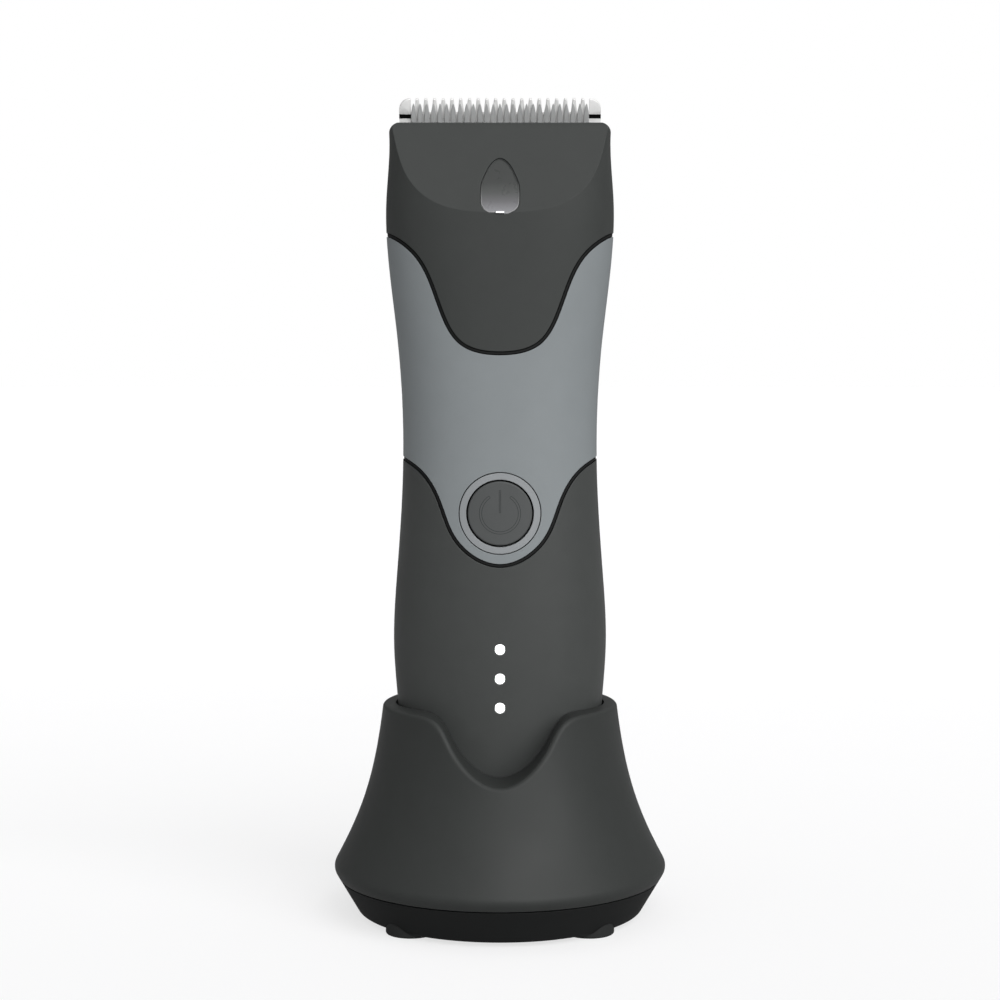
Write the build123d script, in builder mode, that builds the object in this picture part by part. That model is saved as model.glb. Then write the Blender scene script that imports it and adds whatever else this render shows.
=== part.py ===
"""Cordless body groomer standing in its charging dock, in millimetres.

The dock stands on Z = 0 with its axis on Z. X is the width, and the groomer's
button side faces -Y. Each physical piece is one STEP file in parts/.
"""

import os
from collections import namedtuple
from math import copysign, cos, hypot, pi, radians, sin

from build123d import *

os.makedirs("parts", exist_ok=True)

# Handset body: stations of its outer form, heights above its underside
Station = namedtuple("Station", "height half_width half_depth squareness")

handset_length = 149.45
seat_height = 16.0  # underside of the docked handset above the floor
heel_half_width = 16.0
grip_half_width = 22.35
waist_half_width = 20.3
head_half_width = 23.6
body_half_depth = 16.8
crown_drop = 16.6  # widest part of the head below its top
shoulder_drop = 44.6  # start of the head's flare below its top

stations = [
    Station(0, heel_half_width, body_half_depth - 5.2, 2.2),
    Station(8, grip_half_width - 2.9, body_half_depth - 2.9, 2.2),
    Station(29, grip_half_width - 0.8, body_half_depth - 1.2, 2.2),
    Station(41, grip_half_width, body_half_depth - 0.6, 2.2),
    Station(57, grip_half_width - 0.75, body_half_depth - 0.2, 2.3),
    Station(80, waist_half_width, body_half_depth, 2.4),
    Station(handset_length - shoulder_drop, waist_half_width + 1.05, body_half_depth + 0.2, 2.6),
    Station(handset_length - 26, head_half_width - 0.25, body_half_depth + 0.6, 2.9),
    Station(handset_length - crown_drop, head_half_width, body_half_depth + 0.7, 3.0),
    Station(handset_length, head_half_width - 0.5, body_half_depth + 0.2, 3.0),
]
section_points = 32
wall = 1.8
heel_fillet = 2.5
crown_fillet = 1.8
reach = 120.0  # size of cutting blocks, larger than the whole object
top_height = seat_height + handset_length

# Front and back facets of the head
front_facet_tilt = 27.6
front_facet_drop = 18.85  # foot of the front facet below the top
blade_tilt = 24.0
blade_tip_y = 3.2
blade_rise = 6.05  # blade tips above the head's top
blade_proud = 0.3

# Seams: half waves from the middle outwards, (x, height above the seam's lowest point)
seam_slot = 0.8
trim_width = 0.46
trim_recess = 0.2
trim_flange_depth = 0.9
upper_seam_drop = 47.15  # lowest point of the upper seam below the top
upper_wave = [(0, 0), (7.8, 2.0), (12.2, 9.4), (17.0, 19.7), (23.6, 24.5), (32, 25.9)]

# Power button
button_height = 69.9  # above the handset's underside
button_radius = 6.56
button_gap = 0.33
button_ring_width = 1.33
ring_gap = 0.2
button_cap_depth = 2.6
button_stem_radius = 2.4
button_travel = 0.4
button_seal_lap = 1.2  # seal's and well's steps outside the ring

# Lower seam: its middle arc follows the button at this distance from its centre
lower_seam_margin = button_radius + button_gap + button_ring_width + ring_gap + 2 * button_seal_lap - 0.12
lower_wave_shape = [(0, 0), (0.88, 0.533), (1.178, 1.252), (1.561, 1.81), (1.916, 2.005), (2.8, 2.1)]
lower_wave = [(x * lower_seam_margin, z * lower_seam_margin) for x, z in lower_wave_shape]

# Battery lamps
lamp_radius = 1.0
lamp_gap = 0.15
lamp_pitch = 6.07
lamp_count = 3
top_lamp_drop = 27.9  # top lamp below the button's centre

# Main board, battery and chassis
board_front_y = -9.0
board_thickness = 1.2
board_half_width = 10.0
board_margin = 14.0  # board above the button's centre
board_foot = 16.0  # board's lower edge above the handset's underside
battery_radius = 7.0
battery_length = 50.0
battery_y = 2.5
battery_foot = 18.0
chassis_plate = 1.5
chassis_half_width = 8.0
chassis_gap = 0.3
bulkhead_thickness = 2.0
cradle_height = 4.0
contact_pitch = 8.0
contact_pad_radius = 1.6
heel_screw_x = 9.5

# Motor and eccentric drive
motor_y = 3.8
motor_radius = 7.75
motor_half_flat = 6.0
motor_length = 25.0
motor_top_drop = 27.6  # motor's mounting face below the top
shaft_radius = 1.0
shaft_clearance = 0.05
cam_radius = 3.5
cam_length = 5.0
cam_drop = 18.1  # cam's top below the head's top
eccentricity = 0.9
pin_radius = 1.0
pin_rise = 9.0
drive_gap = 0.15

# Blade module, measured down the blade from its tips
blade_half_width = 21.1
blade_length = 20.0
blade_thickness = 1.2
comb_tooth_pitch = 1.823
comb_tooth_root = 3.05
tab_width = 2.45
notch_drop = 3.15
notch_height = 0.85
insert_depth = 0.6
cutter_tip_drop = 0.8
cutter_thickness = 1.0
cutter_tooth_pitch = 1.39
cutter_tooth_width = 1.13
cutter_point = 2.1
cutter_root = 7.0
cutter_shoulder = 9.5
cutter_tail = 16.0
cutter_tail_half_width = 9.0
blade_gap = 0.05
slide_gap = 0.3
carrier_depth = 5.0
carrier_top = 7.3
carrier_taper_start = 9.0
carrier_taper = 4.6
front_bar_foot = 11.3
module_gap = 0.15
blade_screw_inset = 7.1
blade_screw_drop = 16.0
yoke_half_width = 8.6
yoke_wall = 1.15

# Work light on the front facet
light_half_width = 4.0
light_length = 12.9
light_foot = -0.2
light_depth = 1.7
light_lens_recess = 0.25

# Dock
socket_gap = 0.45
cup_wall = 1.8
rim_wall = 2.65
rim_height = 44.8
rim_dip = 13.3
rim_dip_half_width = 16.2
rim_fillet = 0.9
skirt_wall = 2.2
belt_radius = 35.35
belt_height = 10.2
belt_fillet = 2.2
parting_height = 8.2
parting_gap = 0.3
sole_radius = 29.9
sole_height = 0.9
sole_fillet = 1.3
base_wall = 2.0
lip_width = 1.2
lip_rise = 1.5
foot_radius = 5.2
foot_height = 4.0
foot_circle = 25.7
foot_gap = 0.05
foot_fillet = 0.4
dock_screw_circle = 25.2
dock_post_radius = 2.7
dock_board_foot = 10.2
board_top = dock_board_foot + board_thickness
inlet_half_width = 6.3
inlet_half_height = 3.5
inlet_face_y = 31.2
receptacle_half_width = 4.47
receptacle_half_height = 1.63
receptacle_length = 7.3
inlet_height = board_top + receptacle_half_height + 0.05
pin_travel = 1.0
contact_pin_radius = 0.78
contact_standoff = 0.3
ballast_radii = (13.8, 18.8)
ballast_thickness = 3.0

comb_half_span = blade_half_width - tab_width
comb_tooth_count = int(2 * comb_half_span / comb_tooth_pitch)
cutter_tooth_count = round(2 * comb_half_span / cutter_tooth_pitch)
carrier_foot_half_width = blade_half_width - carrier_taper
blade_screw_x = blade_half_width - blade_screw_inset
button_z = seat_height + button_height
upper_seam_z = top_height - upper_seam_drop
lower_seam_z = button_z - lower_seam_margin
lamp_heights = [button_z - top_lamp_drop - i * lamp_pitch for i in range(lamp_count)]
front_facet = Plane(
    origin=(0, -(body_half_depth + 0.7), top_height - front_facet_drop),
    x_dir=(1, 0, 0),
    z_dir=(0, -cos(radians(front_facet_tilt)), sin(radians(front_facet_tilt))),
)
# Blade frame: x across, y down the blade from its tips, z out of the back
blade_frame = Plane(
    origin=(0, blade_tip_y, top_height + blade_rise),
    x_dir=(1, 0, 0),
    z_dir=(0, cos(radians(blade_tilt)), sin(radians(blade_tilt))),
)
back_facet = blade_frame.offset(-blade_proud)


def section_outline(station, inset):
    """Points of the superelliptic section at a station, shrunk by inset."""
    points = []
    power = 2 / station.squareness
    for i in range(section_points):
        turn = 2 * pi * i / section_points
        x = (station.half_width - inset) * abs(cos(turn)) ** power
        y = (station.half_depth - inset) * abs(sin(turn)) ** power
        points.append((copysign(x, cos(turn)), copysign(y, sin(turn))))
    return points


def body_form(inset):
    """The handset's outer form shrunk by inset all round, or grown where inset is negative."""
    end_shift = {0: inset, len(stations) - 1: -inset}
    with BuildPart() as form:
        for i, station in enumerate(stations):
            level = seat_height + station.height + end_shift.get(i, 0)
            with BuildSketch(Plane.XY.offset(level)):
                with BuildLine():
                    Spline(*section_outline(station, inset), periodic=True)
                make_face()
        loft()
        for facet in (front_facet, back_facet):
            with BuildSketch(facet.offset(-inset)):
                Rectangle(reach, reach)
            extrude(amount=reach, mode=Mode.SUBTRACT)
    return form.part


def half_width_at(height):
    """Half width of the handset at a height above its underside, between stations."""
    for low, high in zip(stations, stations[1:]):
        if low.height <= height <= high.height:
            share = (height - low.height) / (high.height - low.height)
            return low.half_width + share * (high.half_width - low.half_width)
    return stations[-1].half_width


def seam_points(half_wave, level):
    """A half wave and its mirror image as points of the XZ plane, left to right."""
    right = [(x, level + rise) for x, rise in half_wave]
    return [(-x, z) for x, z in reversed(right[1:])] + right


def region_above(half_wave, level):
    """Everything above a seam's wave, through the whole depth of the body."""
    with BuildPart() as region:
        with BuildSketch(Plane.XZ):
            with BuildLine():
                wave = Spline(*seam_points(half_wave, level))
                Polyline(wave @ 1, (half_wave[-1][0], level + reach), (-half_wave[-1][0], level + reach), wave @ 0)
            make_face()
        extrude(amount=reach / 2, both=True)
    return region.part


def seam_band(half_wave, level, width):
    """A band of the given width along a seam's wave, through the whole depth of the body."""
    with BuildPart() as band:
        with BuildSketch(Plane.XZ):
            with BuildLine():
                Spline(*seam_points(half_wave, level))
            trace(line_width=width)
        extrude(amount=reach / 2, both=True)
    return band.part


def front_cylinder(radius, height, back_y, front_y=-reach / 2):
    """A cylinder along Y at a height above the floor, from back_y forwards to front_y."""
    with BuildPart() as rod:
        with BuildSketch(Plane.XZ.offset(-back_y)):
            with Locations((0, height)):
                Circle(radius)
        extrude(amount=back_y - front_y)
    return rod.part


outer_form = body_form(0)
inner_form = body_form(wall)
above_upper = region_above(upper_wave, upper_seam_z)
above_lower = region_above(lower_wave, lower_seam_z)
upper_slot = seam_band(upper_wave, upper_seam_z, seam_slot)
lower_slot = seam_band(lower_wave, lower_seam_z, seam_slot)

# Outer form with its edges eased: crown edge and heel edge
with BuildPart() as eased_form:
    add(outer_form)
    fillet(eased_form.faces().sort_by(Axis.Z)[-1].edges(), crown_fillet)
    fillet(eased_form.faces().sort_by(Axis.Z)[0].edges(), heel_fillet)


# ---- handset casing ----


def module_outline(gap, top):
    """Half-open outline of the blade module in the blade frame, grown by gap."""
    foot = blade_length + gap
    Polygon(
        (-blade_half_width - gap, top),
        (blade_half_width + gap, top),
        (blade_half_width + gap, carrier_taper_start),
        (carrier_foot_half_width + gap, foot),
        (-carrier_foot_half_width - gap, foot),
        (-blade_half_width - gap, carrier_taper_start),
        align=None,
    )


def light_outline(grow):
    """Teardrop window on the front facet, its flat end at the facet's foot."""
    w, length, foot = light_half_width + grow, light_length + 2 * grow, light_foot - grow
    shape = [(0, 0), (0.56, 0.01), (0.93, 0.12), (1, 0.28), (0.97, 0.52), (0.77, 0.705), (0.42, 0.915), (0, 1)]
    half = [(x * w, foot + y * length) for x, y in shape]
    mirrored = [(-x, y) for x, y in reversed(half[1:-1])]
    with BuildLine() as outline:
        Spline(*half, *mirrored, periodic=True)
    make_face(outline.edges())


with BuildPart() as head_housing:
    add(eased_form.part)
    add(above_upper, mode=Mode.INTERSECT)
    add(upper_slot, mode=Mode.SUBTRACT)
    add(inner_form, mode=Mode.SUBTRACT)
    with BuildSketch(blade_frame.offset(-blade_thickness - carrier_depth - module_gap)):
        module_outline(module_gap, -reach / 4)
    extrude(amount=reach / 2, mode=Mode.SUBTRACT)
    with BuildSketch(front_facet.offset(-light_depth)) as light_pocket:
        light_outline(0)
    extrude(amount=reach / 2, mode=Mode.SUBTRACT)

ring_outer = button_radius + button_gap + button_ring_width
well_radius = ring_outer + ring_gap
cap_back_y = -(body_half_depth - button_cap_depth)
seal_front_y = cap_back_y + button_travel + 0.1
seal_thickness = 1.0
seal_radius = well_radius + button_seal_lap

with BuildPart() as mid_sleeve:
    add(outer_form)
    add(above_lower, mode=Mode.INTERSECT)
    add(above_upper, mode=Mode.SUBTRACT)
    add(upper_slot, mode=Mode.SUBTRACT)
    add(lower_slot, mode=Mode.SUBTRACT)
    add(inner_form, mode=Mode.SUBTRACT)
    with BuildPart(mode=Mode.PRIVATE) as button_well:
        add(front_cylinder(seal_radius + button_seal_lap, button_z, seal_front_y + seal_thickness))
        add(outer_form, mode=Mode.INTERSECT)
        add(lower_slot, mode=Mode.SUBTRACT)
    add(button_well.part)
    add(front_cylinder(well_radius, button_z, seal_front_y + 0.01), mode=Mode.SUBTRACT)
    add(front_cylinder(seal_radius, button_z, 0, seal_front_y), mode=Mode.SUBTRACT)

with BuildPart() as lower_housing:
    add(eased_form.part)
    add(above_lower, mode=Mode.SUBTRACT)
    add(lower_slot, mode=Mode.SUBTRACT)
    add(inner_form, mode=Mode.SUBTRACT)
    for height in lamp_heights:
        add(front_cylinder(lamp_radius + lamp_gap, height, 0), mode=Mode.SUBTRACT)
    with BuildSketch(Plane.XY.offset(seat_height - 1)):
        with Locations((-contact_pitch / 2, 0), (contact_pitch / 2, 0)):
            Circle(contact_pad_radius)
    extrude(amount=wall + 2, mode=Mode.SUBTRACT)
    with Locations(*[Location((x, 0, seat_height), (180, 0, 0)) for x in (-heel_screw_x, heel_screw_x)]):
        CounterBoreHole(radius=1.05, counter_bore_radius=1.9, counter_bore_depth=0.9, depth=wall + 1)


def seam_trim(half_wave, level):
    """Rubber trim in a seam: a wide flange inside and a narrow lip outside."""
    with BuildPart() as trim:
        add(body_form(trim_recess))
        add(seam_band(half_wave, level, trim_width), mode=Mode.INTERSECT)
        with BuildPart(mode=Mode.PRIVATE) as flange:
            add(body_form(trim_flange_depth))
            add(seam_band(half_wave, level, seam_slot), mode=Mode.INTERSECT)
        add(flange.part)
        add(inner_form, mode=Mode.SUBTRACT)
    return trim


upper_seam_trim = seam_trim(upper_wave, upper_seam_z)
lower_seam_trim = seam_trim(lower_wave, lower_seam_z)

# ---- power button, its ring, seal and switch ----

with BuildPart() as button_ring:
    add(front_cylinder(ring_outer, button_z, seal_front_y + 0.01))
    add(outer_form, mode=Mode.INTERSECT)
    add(front_cylinder(button_radius + button_gap, button_z, 0), mode=Mode.SUBTRACT)

with BuildPart() as power_button:
    add(front_cylinder(button_radius, button_z, cap_back_y))
    add(body_form(0.1), mode=Mode.INTERSECT)
    fillet(power_button.edges().group_by(Axis.Y)[0], 0.3)
    add(front_cylinder(button_stem_radius, button_z, board_front_y - 1.65, cap_back_y))

with BuildPart() as button_seal:
    add(front_cylinder(seal_radius - 0.05, button_z, seal_front_y + seal_thickness, seal_front_y + 0.01))
    add(front_cylinder(button_stem_radius + 0.1, button_z, 0), mode=Mode.SUBTRACT)

switch_half = 3.0
plunger_radius = 1.7

with BuildPart() as switch_body:
    with BuildSketch(Plane.XZ.offset(-board_front_y)):
        with Locations((0, button_z)):
            Rectangle(2 * switch_half, 2 * switch_half)
            Circle(plunger_radius + 0.08, mode=Mode.SUBTRACT)
    extrude(amount=1.2)

with BuildPart() as switch_plunger:
    add(front_cylinder(plunger_radius, button_z, board_front_y - 0.6, board_front_y - 1.6))

# ---- battery lamps: light pipes in the casing, lamps on the board ----

lamp_height = 0.6

with BuildPart() as lamp_pipes:
    for height in lamp_heights:
        add(front_cylinder(lamp_radius, height, board_front_y - lamp_height - 0.1))
    add(outer_form, mode=Mode.INTERSECT)

with BuildPart() as lamp_chips:
    with BuildSketch(Plane.XZ.offset(-board_front_y)):
        with Locations(*[(0, height) for height in lamp_heights]):
            Rectangle(1.6, 0.8)
    extrude(amount=lamp_height)

# ---- main board and battery ----

board_low = seat_height + board_foot
board_high = button_z + board_margin
board_back_y = board_front_y + board_thickness

with BuildPart() as main_board:
    with BuildSketch(Plane.XZ.offset(-board_back_y)):
        with Locations((0, (board_low + board_high) / 2)):
            Rectangle(2 * board_half_width, board_high - board_low)
    extrude(amount=board_thickness)

battery_low = seat_height + battery_foot
battery_high = battery_low + battery_length
tab_thickness = 0.25

with BuildPart() as battery_cell:
    with BuildSketch(Plane.XY.offset(battery_low)):
        with Locations((0, battery_y)):
            Circle(battery_radius)
    extrude(amount=battery_length)
    fillet(battery_cell.edges(), 0.5)

with BuildPart() as battery_tabs:
    for level in (battery_low - tab_thickness, battery_high):
        with BuildSketch(Plane.XY.offset(level)):
            with Locations((0, (board_back_y + battery_y + 2) / 2)):
                Rectangle(5, battery_y + 2 - board_back_y)
        extrude(amount=tab_thickness)

# ---- motor and rotor ----

motor_top = top_height - motor_top_drop
motor_bottom = motor_top - motor_length
end_bell_length = 4.0
rotor_play = 0.2


def motor_section(radius):
    """Round can with two flats, at the motor's place."""
    with Locations((0, motor_y)):
        Circle(radius)
        Rectangle(2 * radius, 2 * motor_half_flat, mode=Mode.INTERSECT)
        Circle(shaft_radius + shaft_clearance, mode=Mode.SUBTRACT)


with BuildPart() as motor_can:
    with BuildSketch(Plane.XY.offset(motor_bottom + end_bell_length)):
        motor_section(motor_radius)
    extrude(amount=motor_length - end_bell_length)

with BuildPart() as motor_end_bell:
    with BuildSketch(Plane.XY.offset(motor_bottom)):
        motor_section(motor_radius - 0.5)
    extrude(amount=end_bell_length)

with BuildPart() as motor_terminals:
    with BuildSketch(Plane.XY.offset(motor_bottom - 2.5)):
        with Locations((-4, motor_y), (4, motor_y)):
            Rectangle(0.5, 2)
    extrude(amount=2.5)

cam_top = top_height - cam_drop
cam_bottom = cam_top - cam_length

with BuildPart() as motor_shaft:
    with BuildSketch(Plane.XY.offset(motor_bottom + rotor_play)):
        with Locations((0, motor_y)):
            Circle(shaft_radius)
    extrude(amount=cam_bottom + 2.5 - motor_bottom - rotor_play)

with BuildPart() as eccentric_pin:
    with BuildSketch(Plane.XY.offset(cam_bottom + 3.0)):
        with Locations((0, motor_y + eccentricity)):
            Circle(pin_radius)
    extrude(amount=cam_length - 3.0 + pin_rise)
    fillet(eccentric_pin.edges().group_by(Axis.Z)[-1], 0.5)

with BuildPart() as drive_cam:
    with BuildSketch(Plane.XY.offset(cam_bottom)):
        with Locations((0, motor_y)):
            Circle(cam_radius)
    extrude(amount=cam_length)
    chamfer(drive_cam.edges(), 0.4)
    add(motor_shaft.part, mode=Mode.SUBTRACT)
    add(eccentric_pin.part, mode=Mode.SUBTRACT)

with BuildPart() as shaft_seal:
    with BuildSketch(Plane.XY.offset(motor_top + bulkhead_thickness)):
        with Locations((0, motor_y)):
            Circle(cam_radius)
            Circle(shaft_radius + 0.1, mode=Mode.SUBTRACT)
    extrude(amount=1.2)

# ---- inner chassis ----

chassis_form = body_form(wall + chassis_gap)
chassis_y = battery_y + battery_radius + chassis_gap
lower_bulkhead = seat_height + 10.0
heel_post_foot = seat_height + wall + 0.1
cradle_levels = (battery_low + 8, battery_high - 12)
motor_screw_x = 5.0

with BuildPart() as chassis:
    with BuildSketch(Plane.XY.offset(lower_bulkhead)):
        with Locations((0, chassis_y + chassis_plate / 2)):
            Rectangle(2 * chassis_half_width, chassis_plate)
    extrude(amount=motor_top + bulkhead_thickness - lower_bulkhead)
    for level in (lower_bulkhead, motor_top):
        with BuildSketch(Plane.XY.offset(level)):
            Rectangle(reach, reach)
        extrude(amount=bulkhead_thickness)
    for level in cradle_levels:
        with BuildSketch(Plane.XY.offset(level)):
            with Locations((0, battery_y)):
                Circle(battery_radius + 1.4)
            with Locations((0, (board_back_y + battery_y - battery_radius) / 2)):
                Rectangle(2 * board_half_width, battery_y - battery_radius - board_back_y + 0.8)
            with Locations((0, board_back_y - reach / 2)):
                Rectangle(reach, reach, mode=Mode.SUBTRACT)
        extrude(amount=cradle_height)
    with BuildSketch(Plane.XY.offset(motor_bottom + end_bell_length)):
        with Locations((0, motor_y)):
            Circle(motor_radius + 1.5)
    extrude(amount=6)
    with BuildSketch(Plane.XY.offset(heel_post_foot)):
        with Locations((-heel_screw_x, 0), (heel_screw_x, 0)):
            Circle(2.2)
    extrude(amount=lower_bulkhead - heel_post_foot + 1)
    add(chassis_form, mode=Mode.INTERSECT)
    with BuildSketch(Plane.XY.offset(battery_low - 0.5)):
        with Locations((0, battery_y)):
            Circle(battery_radius + 0.15)
    extrude(amount=battery_length + 1, mode=Mode.SUBTRACT)
    with BuildSketch(Plane.XY.offset(motor_bottom - 1)):
        with Locations((0, motor_y)):
            Circle(motor_radius + 0.1)
            Rectangle(2 * motor_radius + 1, 2 * motor_half_flat + 0.2, mode=Mode.INTERSECT)
    extrude(amount=motor_length + 1, mode=Mode.SUBTRACT)
    with BuildSketch(Plane.XY.offset(motor_top - 1)):
        with Locations((0, motor_y)):
            Circle(2.4)
        with Locations((-motor_screw_x, motor_y), (motor_screw_x, motor_y)):
            Circle(0.85)
    extrude(amount=bulkhead_thickness + 2, mode=Mode.SUBTRACT)
    with BuildSketch(Plane.XY.offset(heel_post_foot)):
        with Locations((-heel_screw_x, 0), (heel_screw_x, 0)):
            Circle(0.95)
    extrude(amount=9, mode=Mode.SUBTRACT)


def cap_screw(head_radius, head_height, shank_radius, shank_length):
    """A cross-head screw with its head's top at the origin and its shank down -Z."""
    with BuildPart() as screw:
        with BuildSketch(Plane.XY.offset(-head_height)):
            Circle(head_radius)
        extrude(amount=head_height)
        with BuildSketch(Plane.XY.offset(-head_height - shank_length)):
            Circle(shank_radius)
        extrude(amount=shank_length)
        with BuildSketch():
            Rectangle(head_radius, head_radius / 4)
            Rectangle(head_radius / 4, head_radius)
        extrude(amount=-head_height / 2, mode=Mode.SUBTRACT)
    return screw.part


with BuildPart() as motor_screws:
    for x in (-motor_screw_x, motor_screw_x):
        with Locations((x, motor_y, motor_top + bulkhead_thickness + 0.9)):
            add(cap_screw(1.45, 0.9, 0.8, bulkhead_thickness))

with BuildPart() as heel_screws:
    for x in (-heel_screw_x, heel_screw_x):
        with Locations(Location((x, 0, seat_height + 0.1), (180, 0, 0))):
            add(cap_screw(1.75, 0.8, 0.9, 7.0))

with BuildPart() as contact_pads:
    with BuildSketch(Plane.XY.offset(seat_height)):
        with Locations((-contact_pitch / 2, 0), (contact_pitch / 2, 0)):
            Circle(contact_pad_radius)
    extrude(amount=wall)
    with BuildSketch(Plane.XY.offset(seat_height + wall)):
        with Locations((-contact_pitch / 2, 0), (contact_pitch / 2, 0)):
            Circle(contact_pad_radius + 0.6)
    extrude(amount=0.5)

# ---- blade module ----

cutter_half_width = cutter_tooth_pitch * (cutter_tooth_count - 1) / 2 + cutter_tooth_width / 2
cutter_back = blade_thickness + blade_gap
cutter_front = cutter_back + cutter_thickness


def across(count, pitch):
    """Centres of count teeth at a pitch, symmetric about the middle."""
    return [(i - (count - 1) / 2) * pitch for i in range(count)]


with BuildPart() as fixed_blade:
    with BuildSketch(blade_frame.offset(-blade_thickness)) as comb_outline:
        module_outline(0, comb_tooth_root)
        for x in across(comb_tooth_count, comb_tooth_pitch):
            Polygon(
                (x - 0.62, comb_tooth_root + 0.1),
                (x - 0.36, 0.3),
                (x - 0.2, 0),
                (x + 0.2, 0),
                (x + 0.36, 0.3),
                (x + 0.62, comb_tooth_root + 0.1),
                align=None,
            )
        for side in (-1, 1):
            with Locations((side * (blade_half_width - tab_width / 2), comb_tooth_root / 2 + 0.05)):
                Rectangle(tab_width, comb_tooth_root + 0.1)
        fillet(comb_outline.vertices().group_by(Axis.X)[0].sort_by(Axis.Y)[0], tab_width - 0.1)
        fillet(comb_outline.vertices().group_by(Axis.X)[-1].sort_by(Axis.Y)[0], tab_width - 0.1)
    extrude(amount=blade_thickness)
    with BuildSketch(blade_frame.offset(-blade_thickness)):
        for side in (-1, 1):
            with Locations((side * (blade_half_width - tab_width / 2), notch_drop + notch_height / 2)):
                Rectangle(tab_width + 0.1, notch_height)
    extrude(amount=insert_depth, mode=Mode.SUBTRACT)
    with Locations(blade_frame):
        with Locations((-blade_screw_x, blade_screw_drop), (blade_screw_x, blade_screw_drop)):
            CounterSinkHole(radius=1.05, counter_sink_radius=2.0, depth=blade_thickness + 1)

with BuildPart() as blade_end_inserts:
    for side in (-1, 1):
        with BuildSketch(blade_frame.offset(-blade_thickness - 0.05)):
            with Locations((side * (blade_half_width - tab_width / 2), notch_drop + notch_height / 2)):
                Rectangle(tab_width, notch_height)
        extrude(amount=insert_depth + 0.05)

with BuildPart() as cutter:
    with BuildSketch(blade_frame.offset(-cutter_front)):
        for x in across(cutter_tooth_count, cutter_tooth_pitch):
            half = cutter_tooth_width / 2
            Polygon(
                (x - half, cutter_root + 0.1),
                (x - half, cutter_tip_drop + cutter_point),
                (x - 0.3, cutter_tip_drop + 0.7),
                (x, cutter_tip_drop),
                (x + 0.3, cutter_tip_drop + 0.7),
                (x + half, cutter_tip_drop + cutter_point),
                (x + half, cutter_root + 0.1),
                align=None,
            )
        with Locations((0, (cutter_root + cutter_shoulder) / 2)):
            Rectangle(2 * cutter_half_width, cutter_shoulder - cutter_root)
        with Locations((0, (cutter_root + cutter_tail) / 2)):
            Rectangle(2 * cutter_tail_half_width, cutter_tail - cutter_root)
    extrude(amount=cutter_thickness)

yoke_pocket_x = pin_radius + 2 * eccentricity + drive_gap
yoke_pocket_y = pin_radius + eccentricity + drive_gap
yoke_foot = cam_top + 4.2
yoke_top = yoke_foot + 7.0
yoke_plate_depth = 2.15

with BuildPart() as drive_yoke:
    with BuildSketch(blade_frame.offset(-cutter_front - yoke_plate_depth)):
        with Locations((0, (front_bar_foot + slide_gap + cutter_tail) / 2)):
            Rectangle(2 * yoke_half_width, cutter_tail - front_bar_foot - slide_gap)
    extrude(amount=yoke_plate_depth)
    with BuildSketch(Plane.XY.offset(yoke_foot)):
        with Locations((0, motor_y)):
            Rectangle(2 * (yoke_pocket_x + yoke_wall), 2 * (yoke_pocket_y + yoke_wall))
    extrude(amount=yoke_top - yoke_foot)
    with BuildSketch(blade_frame.offset(-cutter_front)):
        with Locations((0, cutter_tail)):
            Rectangle(reach, reach)
    extrude(amount=reach / 2, mode=Mode.SUBTRACT)
    with BuildSketch(Plane.XY.offset(yoke_foot)):
        with Locations((0, motor_y)):
            Rectangle(2 * yoke_pocket_x, 2 * yoke_pocket_y)
    extrude(amount=cam_top + pin_rise + 0.8 - yoke_foot, mode=Mode.SUBTRACT)

spring_inner_x = yoke_pocket_x + yoke_wall + eccentricity + 0.3
spring_outer_x = yoke_half_width + 4.4
spring_low = front_bar_foot + 1.6
spring_width = 2.0
spring_thickness = 0.3
spring_level = cutter_front + yoke_plate_depth + 0.05

with BuildPart() as tension_springs:
    with BuildSketch(blade_frame.offset(-spring_level - spring_thickness)):
        for side in (-1, 1):
            with Locations((side * (spring_inner_x + spring_outer_x) / 2, spring_low + spring_width / 2)):
                Rectangle(spring_outer_x - spring_inner_x, spring_width)
    extrude(amount=spring_thickness)

window_half = yoke_half_width + eccentricity + slide_gap

with BuildPart() as blade_carrier:
    with BuildSketch(blade_frame.offset(-blade_thickness - carrier_depth)):
        module_outline(0, carrier_top)
    extrude(amount=carrier_depth)
    with BuildSketch(blade_frame.offset(-cutter_front - slide_gap)):
        with Locations((0, cutter_shoulder + slide_gap - reach / 2)):
            Rectangle(2 * (cutter_half_width + eccentricity + slide_gap), reach)
        with Locations((0, cutter_tail + slide_gap - reach / 2)):
            Rectangle(2 * (cutter_tail_half_width + eccentricity + slide_gap), reach)
    extrude(amount=cutter_front + slide_gap, mode=Mode.SUBTRACT)
    with BuildSketch(blade_frame.offset(-reach / 4)):
        with Locations((0, front_bar_foot + reach / 2)):
            Rectangle(2 * window_half, reach)
    extrude(amount=reach / 4, mode=Mode.SUBTRACT)
    with BuildSketch(blade_frame.offset(-spring_level - spring_thickness)):
        with Locations((0, spring_low + spring_width / 2)):
            Rectangle(2 * spring_outer_x, spring_width)
    extrude(amount=spring_thickness, mode=Mode.SUBTRACT)
    with Locations(blade_frame):
        with Locations((-blade_screw_x, blade_screw_drop), (blade_screw_x, blade_screw_drop)):
            Hole(radius=1.0, depth=blade_thickness + carrier_depth - 0.8)

with BuildPart() as blade_screws:
    with Locations(blade_frame):
        with Locations(
            (-blade_screw_x, blade_screw_drop, -0.05), (blade_screw_x, blade_screw_drop, -0.05)
        ):
            Cone(0.95, 1.9, 0.95, align=(Align.CENTER, Align.CENTER, Align.MAX))
            Cylinder(0.95, 4.8, align=(Align.CENTER, Align.CENTER, Align.MAX))
            Box(2.0, 0.45, 0.9, mode=Mode.SUBTRACT)
            Box(0.45, 2.0, 0.9, mode=Mode.SUBTRACT)

# ---- work light ----

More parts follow.
